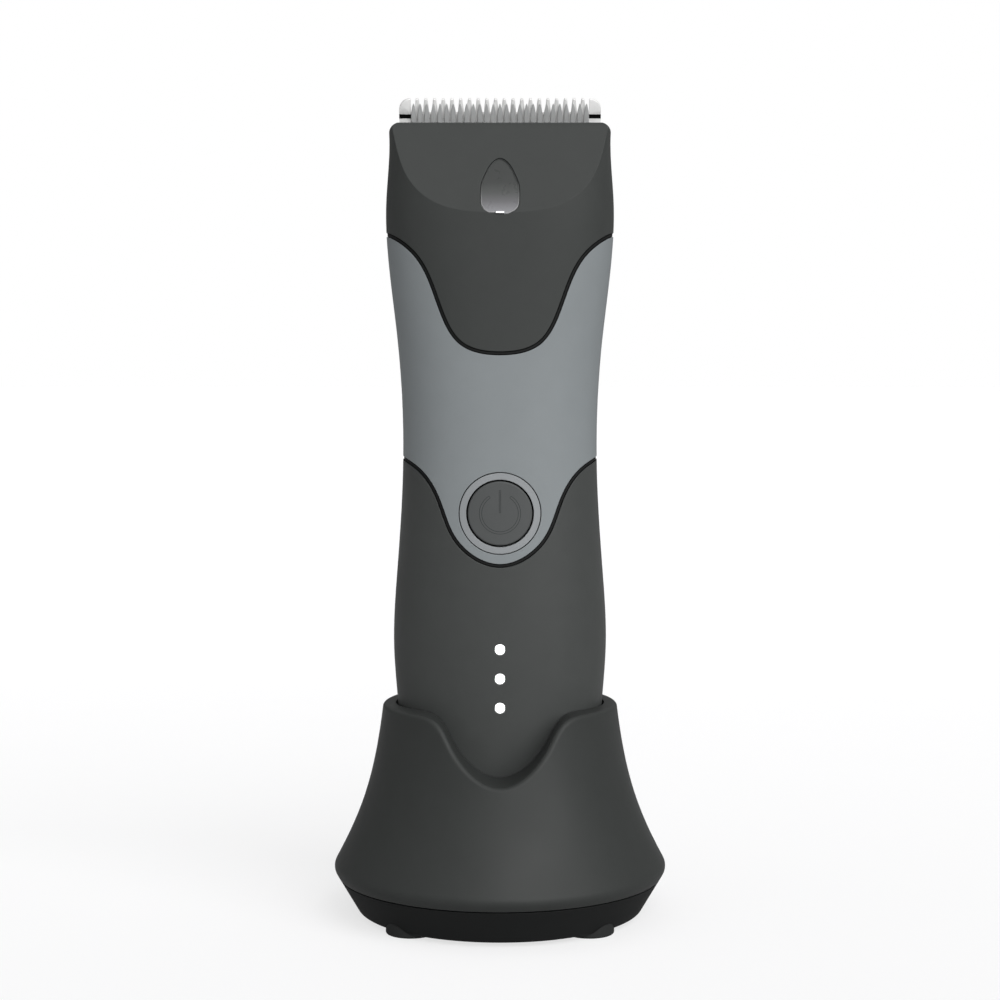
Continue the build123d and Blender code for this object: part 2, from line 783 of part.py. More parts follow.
with BuildPart() as light_lens:
    with BuildSketch(front_facet.offset(-light_depth)):
        light_outline(-0.08)
    extrude(amount=light_depth - light_lens_recess)
    add(outer_form, mode=Mode.INTERSECT)

light_chip_z = light_foot + 1.6

with BuildPart() as light_board:
    with BuildSketch(front_facet.offset(-wall - 2.2)):
        with Locations((0, light_foot + light_length / 2)):
            Rectangle(2 * light_half_width + 2, light_length)
    extrude(amount=0.8)

with BuildPart() as light_chip:
    with BuildSketch(front_facet.offset(-wall - 1.4)):
        with Locations((0, light_chip_z)):
            Rectangle(3.2, 1.4)
    extrude(amount=1.0)

# ---- dock ----

rim_radius = half_width_at(rim_height - seat_height) + socket_gap + rim_wall
skirt_mid = (rim_radius + 4.0, rim_height - 0.57 * (rim_height - belt_height))
bowl_slope = (belt_radius - sole_radius) / (belt_height - sole_height)


def bowl_radius(height):
    """Outer radius of the tapered bowl below the belt."""
    return sole_radius + bowl_slope * (height - sole_height)


def dock_outline(inset):
    """Half section of the dock's outer form as a sketch for revolving, shrunk by inset."""
    with BuildLine() as outline:
        skirt = Spline(
            (rim_radius - inset, rim_height),
            (skirt_mid[0] - inset, skirt_mid[1]),
            (belt_radius - inset, belt_height),
            tangents=((0.12, -1), (0.55, -1)),
        )
        Polyline(
            skirt @ 1,
            (sole_radius - inset, sole_height + inset),
            (0, sole_height + inset),
            (0, rim_height),
            skirt @ 0,
        )
    make_face(outline.edges())


def rim_region(drop):
    """Everything below the dock's rim: a dip in front and level behind, lowered by drop."""
    half = [(0, rim_height - rim_dip), (0.58 * rim_dip_half_width, rim_height - 0.47 * rim_dip)]
    half.append((rim_dip_half_width, rim_height))
    points = [(-x, z - drop) for x, z in reversed(half[1:])] + [(x, z - drop) for x, z in half]
    with BuildPart() as region:
        with BuildSketch(Plane.XZ):
            with BuildLine():
                dip = Spline(*points, tangents=((1, 0), (1, 0)))
                Polyline(dip @ 1, (reach / 2, rim_height - drop), (reach / 2, -1), (-reach / 2, -1),
                         (-reach / 2, rim_height - drop), dip @ 0)
            make_face()
        extrude(amount=reach / 2)
        with BuildSketch(Plane.XZ):
            with Locations((0, (rim_height - drop - 1) / 2)):
                Rectangle(reach, rim_height - drop + 1)
        extrude(amount=-reach / 2)
    return region.part


def outer_rim_edges(solid):
    """Edges of the rim that lie on the dock's outer face."""
    found = solid.edges().filter_by_position(Axis.Z, rim_height - rim_dip - 1, rim_height + 1)
    return found.filter_by(lambda edge: hypot((edge @ 0.5).X, (edge @ 0.5).Y) > rim_radius - 1)


with BuildPart() as dock_form:
    with BuildSketch(Plane.XZ):
        dock_outline(0)
    revolve(axis=Axis.Z)
    fillet(dock_form.edges().filter_by(GeomType.CIRCLE).sort_by(SortBy.RADIUS)[-1], belt_fillet)
    fillet(dock_form.edges().filter_by(GeomType.CIRCLE).group_by(Axis.Z)[0], sole_fillet)

with BuildPart() as dock_space:
    with BuildSketch(Plane.XZ):
        dock_outline(skirt_wall)
    revolve(axis=Axis.Z)
    add(rim_region(skirt_wall + 0.4), mode=Mode.INTERSECT)
    add(body_form(-socket_gap - cup_wall), mode=Mode.SUBTRACT)

shell_foot = parting_height + parting_gap / 2
base_top = parting_height - parting_gap / 2
screw_places = [(-dock_screw_circle, 0), (dock_screw_circle, 0), (0, -dock_screw_circle)]
foot_offset = foot_circle * cos(radians(45))
foot_places = {
    "foot_front_left": (-foot_offset, -foot_offset),
    "foot_front_right": (foot_offset, -foot_offset),
    "foot_rear_left": (-foot_offset, foot_offset),
    "foot_rear_right": (foot_offset, foot_offset),
}
contact_places = [(-contact_pitch / 2, 0), (contact_pitch / 2, 0)]
barrel_radius = 1.3

with BuildPart() as dock_shell:
    add(dock_form.part)
    add(rim_region(0), mode=Mode.INTERSECT)
    fillet(outer_rim_edges(dock_shell), rim_fillet)
    add(dock_space.part, mode=Mode.SUBTRACT)
    with BuildSketch(Plane.XY.offset(shell_foot)):
        with Locations(*screw_places):
            Circle(dock_post_radius)
    extrude(amount=belt_height + 15 - shell_foot)
    with BuildSketch(Plane.XZ.offset(-(inlet_face_y - 2))):
        with Locations((0, inlet_height)):
            RectangleRounded(2 * inlet_half_width + 4, 2 * inlet_half_height + 4, 3)
    extrude(amount=-(belt_radius - inlet_face_y + 1))
    add(dock_form.part, mode=Mode.INTERSECT)
    add(body_form(-socket_gap), mode=Mode.SUBTRACT)
    with BuildSketch(Plane.XY.offset(shell_foot - reach)):
        Rectangle(reach, reach)
    extrude(amount=reach, mode=Mode.SUBTRACT)
    with BuildSketch(Plane.XY.offset(shell_foot)):
        with Locations(*screw_places):
            Circle(1.0)
    extrude(amount=9, mode=Mode.SUBTRACT)
    with BuildSketch(Plane.XY.offset(seat_height - 5)):
        with Locations(*contact_places):
            Circle(barrel_radius + 0.1)
    extrude(amount=6, mode=Mode.SUBTRACT)
    with BuildSketch(Plane.XZ.offset(-inlet_face_y)):
        with Locations((0, inlet_height)):
            RectangleRounded(2 * inlet_half_width, 2 * inlet_half_height, 3)
    extrude(amount=-reach / 2, mode=Mode.SUBTRACT)
    with BuildSketch(Plane.XZ.offset(-(inlet_face_y - 3))):
        with Locations((0, inlet_height)):
            RectangleRounded(2 * receptacle_half_width + 0.2, 2 * receptacle_half_height + 0.2, 1.6)
    extrude(amount=-4, mode=Mode.SUBTRACT)

board_support = 2.0
dock_board_half_width = 12.0
dock_board_front = -10.0
dock_board_back = inlet_face_y - 2.3
board_posts = [(-9, -7), (9, -7), (-9, 22), (9, 22)]
base_floor = sole_height + base_wall
lip_radius = belt_radius - skirt_wall - 1.9

with BuildPart() as base_bowl_space:
    with BuildSketch(Plane.XZ):
        dock_outline(base_wall)
    revolve(axis=Axis.Z)

with BuildPart() as dock_base:
    add(dock_form.part)
    add(base_bowl_space.part, mode=Mode.SUBTRACT)
    with BuildSketch(Plane.XY.offset(base_top)):
        Rectangle(reach, reach)
    extrude(amount=reach, mode=Mode.SUBTRACT)
    with BuildSketch(Plane.XY.offset(base_floor - 0.5)):
        with Locations(*screw_places):
            Circle(dock_post_radius + 0.6)
    extrude(amount=base_top - base_floor + 0.5)
    with BuildSketch(Plane.XY.offset(base_floor - 0.5)):
        with Locations(*foot_places.values()):
            Circle(foot_radius + 1.4)
    extrude(amount=foot_height + 2.0 - base_floor)
    with BuildSketch(Plane.XY.offset(base_floor - 0.5)):
        with Locations(*board_posts):
            Circle(board_support)
    extrude(amount=dock_board_foot - base_floor + 0.5)
    add(dock_form.part, mode=Mode.INTERSECT)
    with BuildSketch(Plane.XY.offset(base_top - 1.5)):
        Circle(bowl_radius(base_top) - base_wall + 0.6)
        Circle(lip_radius - lip_width, mode=Mode.SUBTRACT)
    extrude(amount=1.5)
    with BuildSketch(Plane.XY.offset(base_top)):
        Circle(lip_radius)
        Circle(lip_radius - lip_width, mode=Mode.SUBTRACT)
        with Locations((0, inlet_face_y)):
            Rectangle(2 * inlet_half_width + 6, 12, mode=Mode.SUBTRACT)
    extrude(amount=lip_rise)
    with BuildSketch():
        with Locations(*foot_places.values()):
            Circle(foot_radius + foot_gap)
    extrude(amount=foot_height + foot_gap, mode=Mode.SUBTRACT)
    with BuildSketch():
        with Locations(*screw_places):
            Circle(1.25)
    extrude(amount=reach, mode=Mode.SUBTRACT)
    with BuildSketch():
        with Locations(*screw_places):
            Circle(2.3)
    extrude(amount=sole_height + 2.4, mode=Mode.SUBTRACT)

feet = {}
for foot_name, (x, y) in foot_places.items():
    with BuildPart() as foot:
        with BuildSketch():
            with Locations((x, y)):
                Circle(foot_radius)
        extrude(amount=foot_height)
        fillet(foot.edges().group_by(Axis.Z)[0], foot_fillet)
    feet[foot_name] = foot

with BuildPart() as dock_screws:
    for x, y in screw_places:
        with Locations(Location((x, y, sole_height + 1.0), (180, 0, 0))):
            add(cap_screw(2.1, 1.4, 1.0, 12.0))

with BuildPart() as ballast_plate:
    with BuildSketch(Plane.XY.offset(base_floor)):
        Circle(ballast_radii[1])
        Circle(ballast_radii[0], mode=Mode.SUBTRACT)
    extrude(amount=ballast_thickness)

with BuildPart() as dock_board:
    with BuildSketch(Plane.XY.offset(dock_board_foot)):
        with Locations((0, (dock_board_front + dock_board_back) / 2)):
            Rectangle(2 * dock_board_half_width, dock_board_back - dock_board_front)
    extrude(amount=board_thickness)

socket_floor = seat_height - socket_gap
cup_underside = socket_floor - cup_wall

with BuildPart() as contact_block:
    with BuildSketch(Plane.XY.offset(board_top)):
        RectangleRounded(2 * contact_pitch, 6, 1)
        with Locations(*contact_places):
            Circle(barrel_radius, mode=Mode.SUBTRACT)
    extrude(amount=cup_underside - 0.05 - board_top)

with BuildPart() as contact_barrels:
    with BuildSketch(Plane.XY.offset(board_top)):
        with Locations(*contact_places):
            Circle(barrel_radius)
    extrude(amount=socket_floor - 0.6 - board_top)
    with BuildSketch(Plane.XY.offset(board_top + 0.2)):
        with Locations(*contact_places):
            Circle(contact_pin_radius + shaft_clearance)
    extrude(amount=reach, mode=Mode.SUBTRACT)

pin_tip = seat_height - contact_standoff
pin_foot = board_top + 0.2 + pin_travel + 0.5
spring_wire = 0.1
contact_pins = {}
contact_springs = {}
for side_name, (x, y) in zip(("left", "right"), contact_places):
    with BuildPart() as contact_pin:
        with BuildSketch(Plane.XY.offset(pin_foot)):
            with Locations((x, y)):
                Circle(contact_pin_radius)
        extrude(amount=pin_tip - pin_foot)
        fillet(contact_pin.edges().group_by(Axis.Z)[-1], 0.5)
    contact_pins["contact_pin_" + side_name] = contact_pin
    spring_height = pin_foot - board_top - 0.2 - 2 * spring_wire - 0.04
    spring_foot = (x, y, board_top + 0.2 + spring_wire + 0.02)
    with BuildPart() as contact_spring:
        with BuildLine():
            coil = Helix(spring_height / 4, spring_height, contact_pin_radius - 0.2, center=spring_foot)
        with BuildSketch(Plane(origin=coil @ 0, z_dir=coil % 0)):
            Circle(spring_wire)
        sweep()
    contact_springs["contact_spring_" + side_name] = contact_spring

with BuildPart() as charge_socket:
    with BuildSketch(Plane.XZ.offset(-(inlet_face_y - 0.1))):
        with Locations((0, inlet_height)):
            RectangleRounded(2 * receptacle_half_width, 2 * receptacle_half_height, 1.5)
            RectangleRounded(2 * receptacle_half_width - 0.5, 2 * receptacle_half_height - 0.5, 1.25,
                             mode=Mode.SUBTRACT)
    extrude(amount=receptacle_length)
    with BuildSketch(Plane.XZ.offset(-(inlet_face_y - 0.1 - receptacle_length))):
        with Locations((0, inlet_height)):
            RectangleRounded(2 * receptacle_half_width, 2 * receptacle_half_height, 1.5)
    extrude(amount=0.4)

with BuildPart() as charge_socket_tongue:
    with BuildSketch(Plane.XZ.offset(-(inlet_face_y - 0.1 - receptacle_length))):
        with Locations((0, inlet_height)):
            Rectangle(6.7, 0.7)
    extrude(amount=-(receptacle_length - 0.9))

pieces = {
    "head_housing": head_housing,
    "mid_sleeve": mid_sleeve,
    "lower_housing": lower_housing,
    "upper_seam_trim": upper_seam_trim,
    "lower_seam_trim": lower_seam_trim,
    "power_button": power_button,
    "button_ring": button_ring,
    "button_seal": button_seal,
    "switch_body": switch_body,
    "switch_plunger": switch_plunger,
    "lamp_pipes": lamp_pipes,
    "lamp_chips": lamp_chips,
    "main_board": main_board,
    "battery_cell": battery_cell,
    "battery_tabs": battery_tabs,
    "motor_can": motor_can,
    "motor_end_bell": motor_end_bell,
    "motor_terminals": motor_terminals,
    "motor_shaft": motor_shaft,
    "drive_cam": drive_cam,
    "eccentric_pin": eccentric_pin,
    "shaft_seal": shaft_seal,
    "chassis": chassis,
    "motor_screws": motor_screws,
    "heel_screws": heel_screws,
    "contact_pads": contact_pads,
    "fixed_blade": fixed_blade,
    "blade_end_inserts": blade_end_inserts,
    "cutter": cutter,
    "drive_yoke": drive_yoke,
    "tension_springs": tension_springs,
    "blade_carrier": blade_carrier,
    "blade_screws": blade_screws,
    "light_lens": light_lens,
    "light_board": light_board,
    "light_chip": light_chip,
    "dock_shell": dock_shell,
    "dock_base": dock_base,
    **feet,
    "dock_screws": dock_screws,
    "ballast_plate": ballast_plate,
    "dock_board": dock_board,
    "contact_block": contact_block,
    "contact_barrels": contact_barrels,
    **contact_pins,
    **contact_springs,
    "charge_socket": charge_socket,
    "charge_socket_tongue": charge_socket_tongue,
}
for name, piece in pieces.items():
    piece.part.label = name
    export_step(piece.part, f"parts/{name}.step")
print(len(pieces), "pieces written")
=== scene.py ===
import math

import bmesh
import bpy
from mathutils import Matrix, Vector
from mathutils.bvhtree import BVHTree


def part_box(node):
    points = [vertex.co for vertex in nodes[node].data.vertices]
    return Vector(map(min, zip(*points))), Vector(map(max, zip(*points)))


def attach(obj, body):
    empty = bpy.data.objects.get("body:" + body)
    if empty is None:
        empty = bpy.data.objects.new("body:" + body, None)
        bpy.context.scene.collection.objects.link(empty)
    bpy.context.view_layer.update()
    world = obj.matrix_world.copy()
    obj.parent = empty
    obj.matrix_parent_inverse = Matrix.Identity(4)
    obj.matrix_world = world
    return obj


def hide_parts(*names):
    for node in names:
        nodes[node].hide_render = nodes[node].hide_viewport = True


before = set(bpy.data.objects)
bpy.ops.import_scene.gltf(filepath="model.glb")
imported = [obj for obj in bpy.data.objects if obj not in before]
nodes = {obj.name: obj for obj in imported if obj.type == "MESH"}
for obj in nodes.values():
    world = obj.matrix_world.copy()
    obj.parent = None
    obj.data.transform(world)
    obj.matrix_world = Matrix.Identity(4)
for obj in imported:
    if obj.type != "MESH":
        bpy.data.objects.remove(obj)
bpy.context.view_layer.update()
mm = 0.001
print("frame loaded,", len(nodes), "nodes")


# helpers for node trees, shared by materials and geometry trees
def addNode(tree, kind, **values):
    node = tree.nodes.new(kind)
    for name, value in values.items():
        setattr(node, name, value)
    return node


def link(tree, source, target):
    tree.links.new(source, target)


def feed(tree, socket, value):
    # a number, a tuple or another node's output into one input
    if isinstance(value, (int, float, tuple)):
        socket.default_value = value
    else:
        link(tree, value, socket)


def calc(tree, operation, *values):
    node = addNode(tree, "ShaderNodeMath", operation=operation)
    for index, value in enumerate(values):
        feed(tree, node.inputs[index], value)
    return node.outputs[0]


def newMaterial(name):
    material = bpy.data.materials.new(name)
    material.use_nodes = True
    tree = material.node_tree
    return material, tree, tree.nodes["Principled BSDF"]


def objectPoint(tree):
    return addNode(tree, "ShaderNodeTexCoord").outputs["Object"]


def noiseOn(tree, point, scale, detail=4.0, roughness=0.55, stretch=None):
    # noise in object space, scale in cycles per metre
    if stretch:
        mapping = addNode(tree, "ShaderNodeMapping")
        mapping.inputs["Scale"].default_value = stretch
        link(tree, point, mapping.inputs["Vector"])
        point = mapping.outputs["Vector"]
    noise = addNode(tree, "ShaderNodeTexNoise")
    noise.inputs["Scale"].default_value = scale
    noise.inputs["Detail"].default_value = detail
    noise.inputs["Roughness"].default_value = roughness
    link(tree, point, noise.inputs["Vector"])
    return noise.outputs["Fac"]


def ramp(tree, factor, stops):
    node = addNode(tree, "ShaderNodeValToRGB")
    elements = node.color_ramp.elements
    while len(elements) < len(stops):
        elements.new(0.5)
    for element, (place, color) in zip(elements, stops):
        element.position = place
        element.color = (*color, 1)
    link(tree, factor, node.inputs["Fac"])
    return node.outputs["Color"]


def mixColor(tree, factor, first, second):
    node = addNode(tree, "ShaderNodeMix", data_type="RGBA")
    feed(tree, node.inputs[0], factor)
    for socket, value in ((node.inputs[6], first), (node.inputs[7], second)):
        feed(tree, socket, (*value, 1) if isinstance(value, tuple) else value)
    return node.outputs[2]


def remap(tree, value, low, high, toLow, toHigh, smooth=False):
    node = addNode(tree, "ShaderNodeMapRange")
    if smooth:
        node.interpolation_type = "SMOOTHSTEP"
    for index, number in enumerate((low, high, toLow, toHigh)):
        node.inputs[index + 1].default_value = number
    link(tree, value, node.inputs[0])
    return node.outputs[0]


def linear(hexColor):
    # scene-linear colour from a display hex colour
    parts = [int(hexColor[i:i + 2], 16) / 255 for i in (0, 2, 4)]
    return tuple(c / 12.92 if c <= 0.04045 else ((c + 0.055) / 1.055) ** 2.4 for c in parts)


def tinted(color, factor):
    return tuple(min(1.0, c * factor) for c in color)


def edgeMask(tree, radius):
    # 1 on a piece's edges and 0 on its faces, with the rounded normal beside it
    bevel = addNode(tree, "ShaderNodeBevel", samples=6)
    bevel.inputs["Radius"].default_value = radius
    geometry = addNode(tree, "ShaderNodeNewGeometry")
    dot = addNode(tree, "ShaderNodeVectorMath", operation="DOT_PRODUCT")
    link(tree, bevel.outputs[0], dot.inputs[0])
    link(tree, geometry.outputs["Normal"], dot.inputs[1])
    return remap(tree, dot.outputs["Value"], 0.995, 0.86, 0, 1, True), bevel.outputs[0]


def bumpFrom(tree, shader, height, strength, distance, base):
    bump = addNode(tree, "ShaderNodeBump")
    bump.inputs["Strength"].default_value = strength
    bump.inputs["Distance"].default_value = distance
    link(tree, height, bump.inputs["Height"])
    link(tree, base, bump.inputs["Normal"])
    link(tree, bump.outputs["Normal"], shader.inputs["Normal"])


def mouldedPlastic(name, look):
    # satin moulded plastic: spark-eroded grain, faint flow mottling, painted highlight on the edges, and
    # edges made less rough as if polished by handling
    material, tree, shader = newMaterial(name)
    point = objectPoint(tree)
    grain = noiseOn(tree, point, look.get("grainScale", 5200), 3.0, 0.6)
    mottle = noiseOn(tree, point, look.get("mottleScale", 240), 5.0, 0.5)
    handled = noiseOn(tree, point, 60, 3.0, 0.6)
    edges, rounded = edgeMask(tree, look.get("edgeRadius", 0.2 * mm))
    base = linear(look["color"])
    spread = look.get("mottle", 0.03)
    color = ramp(tree, mottle, [(0.3, tinted(base, 1 - spread)), (0.7, tinted(base, 1 + spread))])
    # painted highlight: the edge mask lightens the colour on edges by the edge factor
    color = mixColor(tree, calc(tree, "MULTIPLY", edges, 0.7), color, tinted(base, look.get("paintedEdgeLight", 1.3)))
    link(tree, color, shader.inputs["Base Color"])
    middle = look.get("roughness", 0.55)
    rough = remap(tree, handled, 0.3, 0.7, middle - 0.05, middle + 0.05)
    rough = calc(tree, "SUBTRACT", rough, calc(tree, "MULTIPLY", edges, 0.08))
    link(tree, rough, shader.inputs["Roughness"])
    shader.inputs["Specular IOR Level"].default_value = look.get("specular", 0.3)
    bumpFrom(tree, shader, grain, look.get("grainDepth", 0.2), 0.02 * mm, rounded)
    return material


def softRubber(name, color):
    # matt elastomer with a dusty mottling and a fine pebbled skin
    material, tree, shader = newMaterial(name)
    point = objectPoint(tree)
    pebble = noiseOn(tree, point, 5200, 2.0, 0.5)
    dust = noiseOn(tree, point, 160, 6.0, 0.65)
    base = linear(color)
    dusty = tuple(c * 1.3 + 0.002 for c in base)
    link(tree, ramp(tree, dust, [(0.42, base), (0.8, dusty)]), shader.inputs["Base Color"])
    link(tree, remap(tree, dust, 0.3, 0.7, 0.68, 0.86), shader.inputs["Roughness"])
    shader.inputs["Specular IOR Level"].default_value = 0.25
    bumpFrom(tree, shader, pebble, 0.25, 0.03 * mm, edgeMask(tree, 0.15 * mm)[1])
    return material


def workedMetal(name, look):
    # plated or ground metal: fine lines along one axis and a few dull patches
    material, tree, shader = newMaterial(name)
    point = objectPoint(tree)
    lines = noiseOn(tree, point, look.get("lineScale", 900), 3.0, 0.6, look.get("stretch", (1, 1, 8)))
    patches = noiseOn(tree, point, 220, 4.0, 0.6)
    base = linear(look["color"])
    link(tree, ramp(tree, patches, [(0.35, tinted(base, 0.82)), (0.65, base)]), shader.inputs["Base Color"])
    middle = look.get("roughness", 0.3)
    link(tree, remap(tree, lines, 0.3, 0.7, middle - 0.08, middle + 0.1), shader.inputs["Roughness"])
    shader.inputs["Metallic"].default_value = 1.0
    bumpFrom(tree, shader, lines, 0.12, 0.01 * mm, edgeMask(tree, 0.08 * mm)[1])
    return material


def groundCeramic(name, look):
    # sintered blade: lapping lines down the teeth, cloudy tone, and edge colour scaled by the edge factor as
    # painted light: painted highlight above 1, painted shade below 1
    material, tree, shader = newMaterial(name)
    point = objectPoint(tree)
    lines = noiseOn(tree, point, 2600, 2.0, 0.5, (1, 0.08, 0.08))
    cloud = noiseOn(tree, point, 420, 3.0, 0.5)
    edges, rounded = edgeMask(tree, 0.07 * mm)
    base = linear(look["color"])
    color = ramp(tree, cloud, [(0.3, tinted(base, 0.95)), (0.7, tinted(base, 1.04))])
    # painted light on edges: the edge mask scales the colour by the edge factor
    color = mixColor(tree, edges, color, tinted(base, look["paintedEdgeLight"]))
    link(tree, color, shader.inputs["Base Color"])
    link(tree, remap(tree, lines, 0.3, 0.7, look["roughness"] - 0.06, look["roughness"] + 0.08),
         shader.inputs["Roughness"])
    shader.inputs["Metallic"].default_value = look["metallic"]
    bumpFrom(tree, shader, lines, 0.15, 0.01 * mm, rounded)
    return material


def etchedBoard(name, look):
    # solder-masked circuit board with copper runs showing through the mask
    material, tree, shader = newMaterial(name)
    point = objectPoint(tree)
    mapping = addNode(tree, "ShaderNodeMapping")
    mapping.inputs["Rotation"].default_value = look["turn"]
    link(tree, point, mapping.inputs["Vector"])
    runs = addNode(tree, "ShaderNodeTexBrick")
    runs.inputs["Scale"].default_value = 420
    runs.inputs["Mortar Size"].default_value = 0.07
    runs.inputs["Color1"].default_value = (*linear(look["mask"]), 1)
    runs.inputs["Color2"].default_value = (*tinted(linear(look["mask"]), 0.85), 1)
    runs.inputs["Mortar"].default_value = (*tinted(linear(look["mask"]), 2.2), 1)
    link(tree, mapping.outputs["Vector"], runs.inputs["Vector"])
    weave = noiseOn(tree, point, 1500, 3.0, 0.5)
    link(tree, runs.outputs["Color"], shader.inputs["Base Color"])
    link(tree, remap(tree, weave, 0.3, 0.7, 0.3, 0.45), shader.inputs["Roughness"])
    bumpFrom(tree, shader, weave, 0.15, 0.02 * mm, edgeMask(tree, 0.05 * mm)[1])
    return material


# edge factors below: painted highlight along each piece's edges
plasticLooks = {
    "headPlastic": dict(color="353736", edgeRadius=0.22 * mm, specular=0.22, roughness=0.6),
    "sleevePlastic": dict(color="797e80", mottle=0.015, paintedEdgeLight=1.25, specular=0.28, roughness=0.55),
    "ringPlastic": dict(color="848789", mottle=0.015, paintedEdgeLight=1.2, specular=0.3, roughness=0.5),
    "lowerPlastic": dict(color="3a3c3b", specular=0.3, roughness=0.52),
    "buttonPlastic": dict(color="484a4a", grainScale=5600, mottle=0.02, edgeRadius=0.15 * mm, specular=0.25),
    "dockPlastic": dict(color="2c2e2d", grainScale=4600, edgeRadius=0.25 * mm, paintedEdgeLight=1.7, specular=0.25),
    "basePlastic": dict(color="181919", grainScale=4200, mottle=0.04, paintedEdgeLight=1.6, specular=0.12,
                        roughness=0.65),
    "carrierPlastic": dict(color="1b1c1c", edgeRadius=0.12 * mm, paintedEdgeLight=1.4, specular=0.3),
    "insertPlastic": dict(color="050505", edgeRadius=0.05 * mm, paintedEdgeLight=1.2, specular=0.1, roughness=0.7),
    "switchPlastic": dict(color="161717", edgeRadius=0.08 * mm, specular=0.35),
    "plungerPlastic": dict(color="c9c4b4", edgeRadius=0.08 * mm, paintedEdgeLight=1.1, specular=0.4),
    "camPlastic": dict(color="dedbd0", edgeRadius=0.1 * mm, paintedEdgeLight=1.05, specular=0.45, roughness=0.4),
    "bellPlastic": dict(color="2a2b2d", edgeRadius=0.1 * mm, specular=0.35),
    "chassisPlastic": dict(color="4a4c4d", edgeRadius=0.15 * mm, specular=0.3),
    "cellSleeve": dict(color="1f5a73", mottleScale=90, mottle=0.08, paintedEdgeLight=1.5, roughness=0.32,
                       specular=0.5, grainDepth=0.05),
    "chipBody": dict(color="efe6c4", edgeRadius=0.05 * mm, paintedEdgeLight=1.0, roughness=0.35, specular=0.5),
}
plastics = {name: mouldedPlastic(name, look) for name, look in plasticLooks.items()}
seamRubber = softRubber("seamRubber", "0c0d0d")
sealRubber = softRubber("sealRubber", "060606")
footRubber = softRubber("footRubber", "1f2020")
metalLooks = {
    "screwSteel": dict(color="a9aaab", roughness=0.34),
    "shaftSteel": dict(color="cfd0d1", roughness=0.2),
    "canSteel": dict(color="b5b6b6", roughness=0.32, stretch=(6, 6, 0.5)),
    "ballastSteel": dict(color="8f9294", roughness=0.45, lineScale=500, stretch=(1, 6, 1)),
    "springSteel": dict(color="b9babb", roughness=0.25),
    "nickel": dict(color="cdc9bf", roughness=0.28),
    "contactBrass": dict(color="d9b36a", roughness=0.26),
}
metals = {name: workedMetal(name, look) for name, look in metalLooks.items()}
# edge factors: painted highlight on the comb's edges, painted shade on the cutter's
combCeramic = groundCeramic("combCeramic", dict(color="e2e2e1", paintedEdgeLight=1.08, roughness=0.4, metallic=0.0))
cutterCeramic = groundCeramic(
    "cutterCeramic", dict(color="bcbdbd", paintedEdgeLight=0.85, roughness=0.42, metallic=0.15))
boards = {
    "flatBoard": etchedBoard("flatBoard", dict(mask="14532f", turn=(0, 0, 0))),
    "uprightBoard": etchedBoard("uprightBoard", dict(mask="14532f", turn=(math.radians(90), 0, 0))),
}
print("plastics, rubbers, metals and ceramics ready")


def dress(material, *names):
    for name in names:
        slots = nodes[name].data.materials
        for index in range(len(slots)):
            slots[index] = material


def nodePoints(name):
    # extreme corners of a CAD node as vectors
    low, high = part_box(name)
    return Vector(low), Vector(high)


# lens tones by height: painted shade, pale at the foot and darker towards the tip
lensShadeLook = {
    "tones": [(0.0, "838384"), (0.12, "77777a"), (0.28, "59595b"), (0.42, "444645"), (0.6, "333534"),
              (1.0, "313332")],
    "roughness": 0.3,
}


def shadedLensPaint(name, look, span):
    # grey tinted lens with painted shade: pale at its foot and darker towards its tip, standing in for the
    # shading across its scooped face
    material, tree, shader = newMaterial(name)
    point = objectPoint(tree)
    parts = addNode(tree, "ShaderNodeSeparateXYZ")
    link(tree, point, parts.inputs[0])
    height = remap(tree, parts.outputs["Z"], span[0], span[1], 0, 1)
    haze = noiseOn(tree, point, 700, 3.0, 0.5)
    wander = remap(tree, haze, 0.3, 0.7, -0.006, 0.006)
    stops = [(place, linear(hue)) for place, hue in look["tones"]]
    tone = ramp(tree, calc(tree, "ADD", height, wander), stops)
    link(tree, tone, shader.inputs["Base Color"])
    link(tree, remap(tree, haze, 0.3, 0.7, look["roughness"] - 0.05, look["roughness"] + 0.08),
         shader.inputs["Roughness"])
    shader.inputs["Specular IOR Level"].default_value = 0.3
    return material


def lampGlow(name, power):
    # frosted light pipe, lit from behind
    material, tree, shader = newMaterial(name)
    frost = noiseOn(tree, objectPoint(tree), 6000, 2.0, 0.5)
    shader.inputs["Base Color"].default_value = (0.95, 0.96, 0.97, 1)
    link(tree, remap(tree, frost, 0.3, 0.7, 0.3, 0.45), shader.inputs["Roughness"])
    shader.inputs["Emission Color"].default_value = (1, 1, 1, 1)
    link(tree, remap(tree, frost, 0.2, 0.8, power * 0.92, power * 1.08), shader.inputs["Emission Strength"])
    return material


lensLow, lensHigh = nodePoints("light_lens")
lensPaintedShade = shadedLensPaint("lensPaintedShade", lensShadeLook, (lensLow.z, lensHigh.z))
lampLight = lampGlow("lampLight", 1.6)

dress(plastics["headPlastic"], "head_housing")
dress(plastics["sleevePlastic"], "mid_sleeve")
dress(plastics["ringPlastic"], "button_ring")
dress(plastics["lowerPlastic"], "lower_housing")
dress(plastics["buttonPlastic"], "power_button")
dress(plastics["dockPlastic"], "dock_shell")
dress(plastics["basePlastic"], "dock_base")
dress(plastics["carrierPlastic"], "blade_carrier", "drive_yoke", "contact_block")
dress(plastics["insertPlastic"], "blade_end_inserts")
dress(plastics["switchPlastic"], "switch_body", "charge_socket_tongue")
dress(plastics["plungerPlastic"], "switch_plunger")
dress(plastics["camPlastic"], "drive_cam")
dress(plastics["bellPlastic"], "motor_end_bell")
dress(plastics["chassisPlastic"], "chassis")
dress(plastics["cellSleeve"], "battery_cell")
dress(plastics["chipBody"], "lamp_chips", "light_chip")
dress(seamRubber, "upper_seam_trim", "lower_seam_trim")
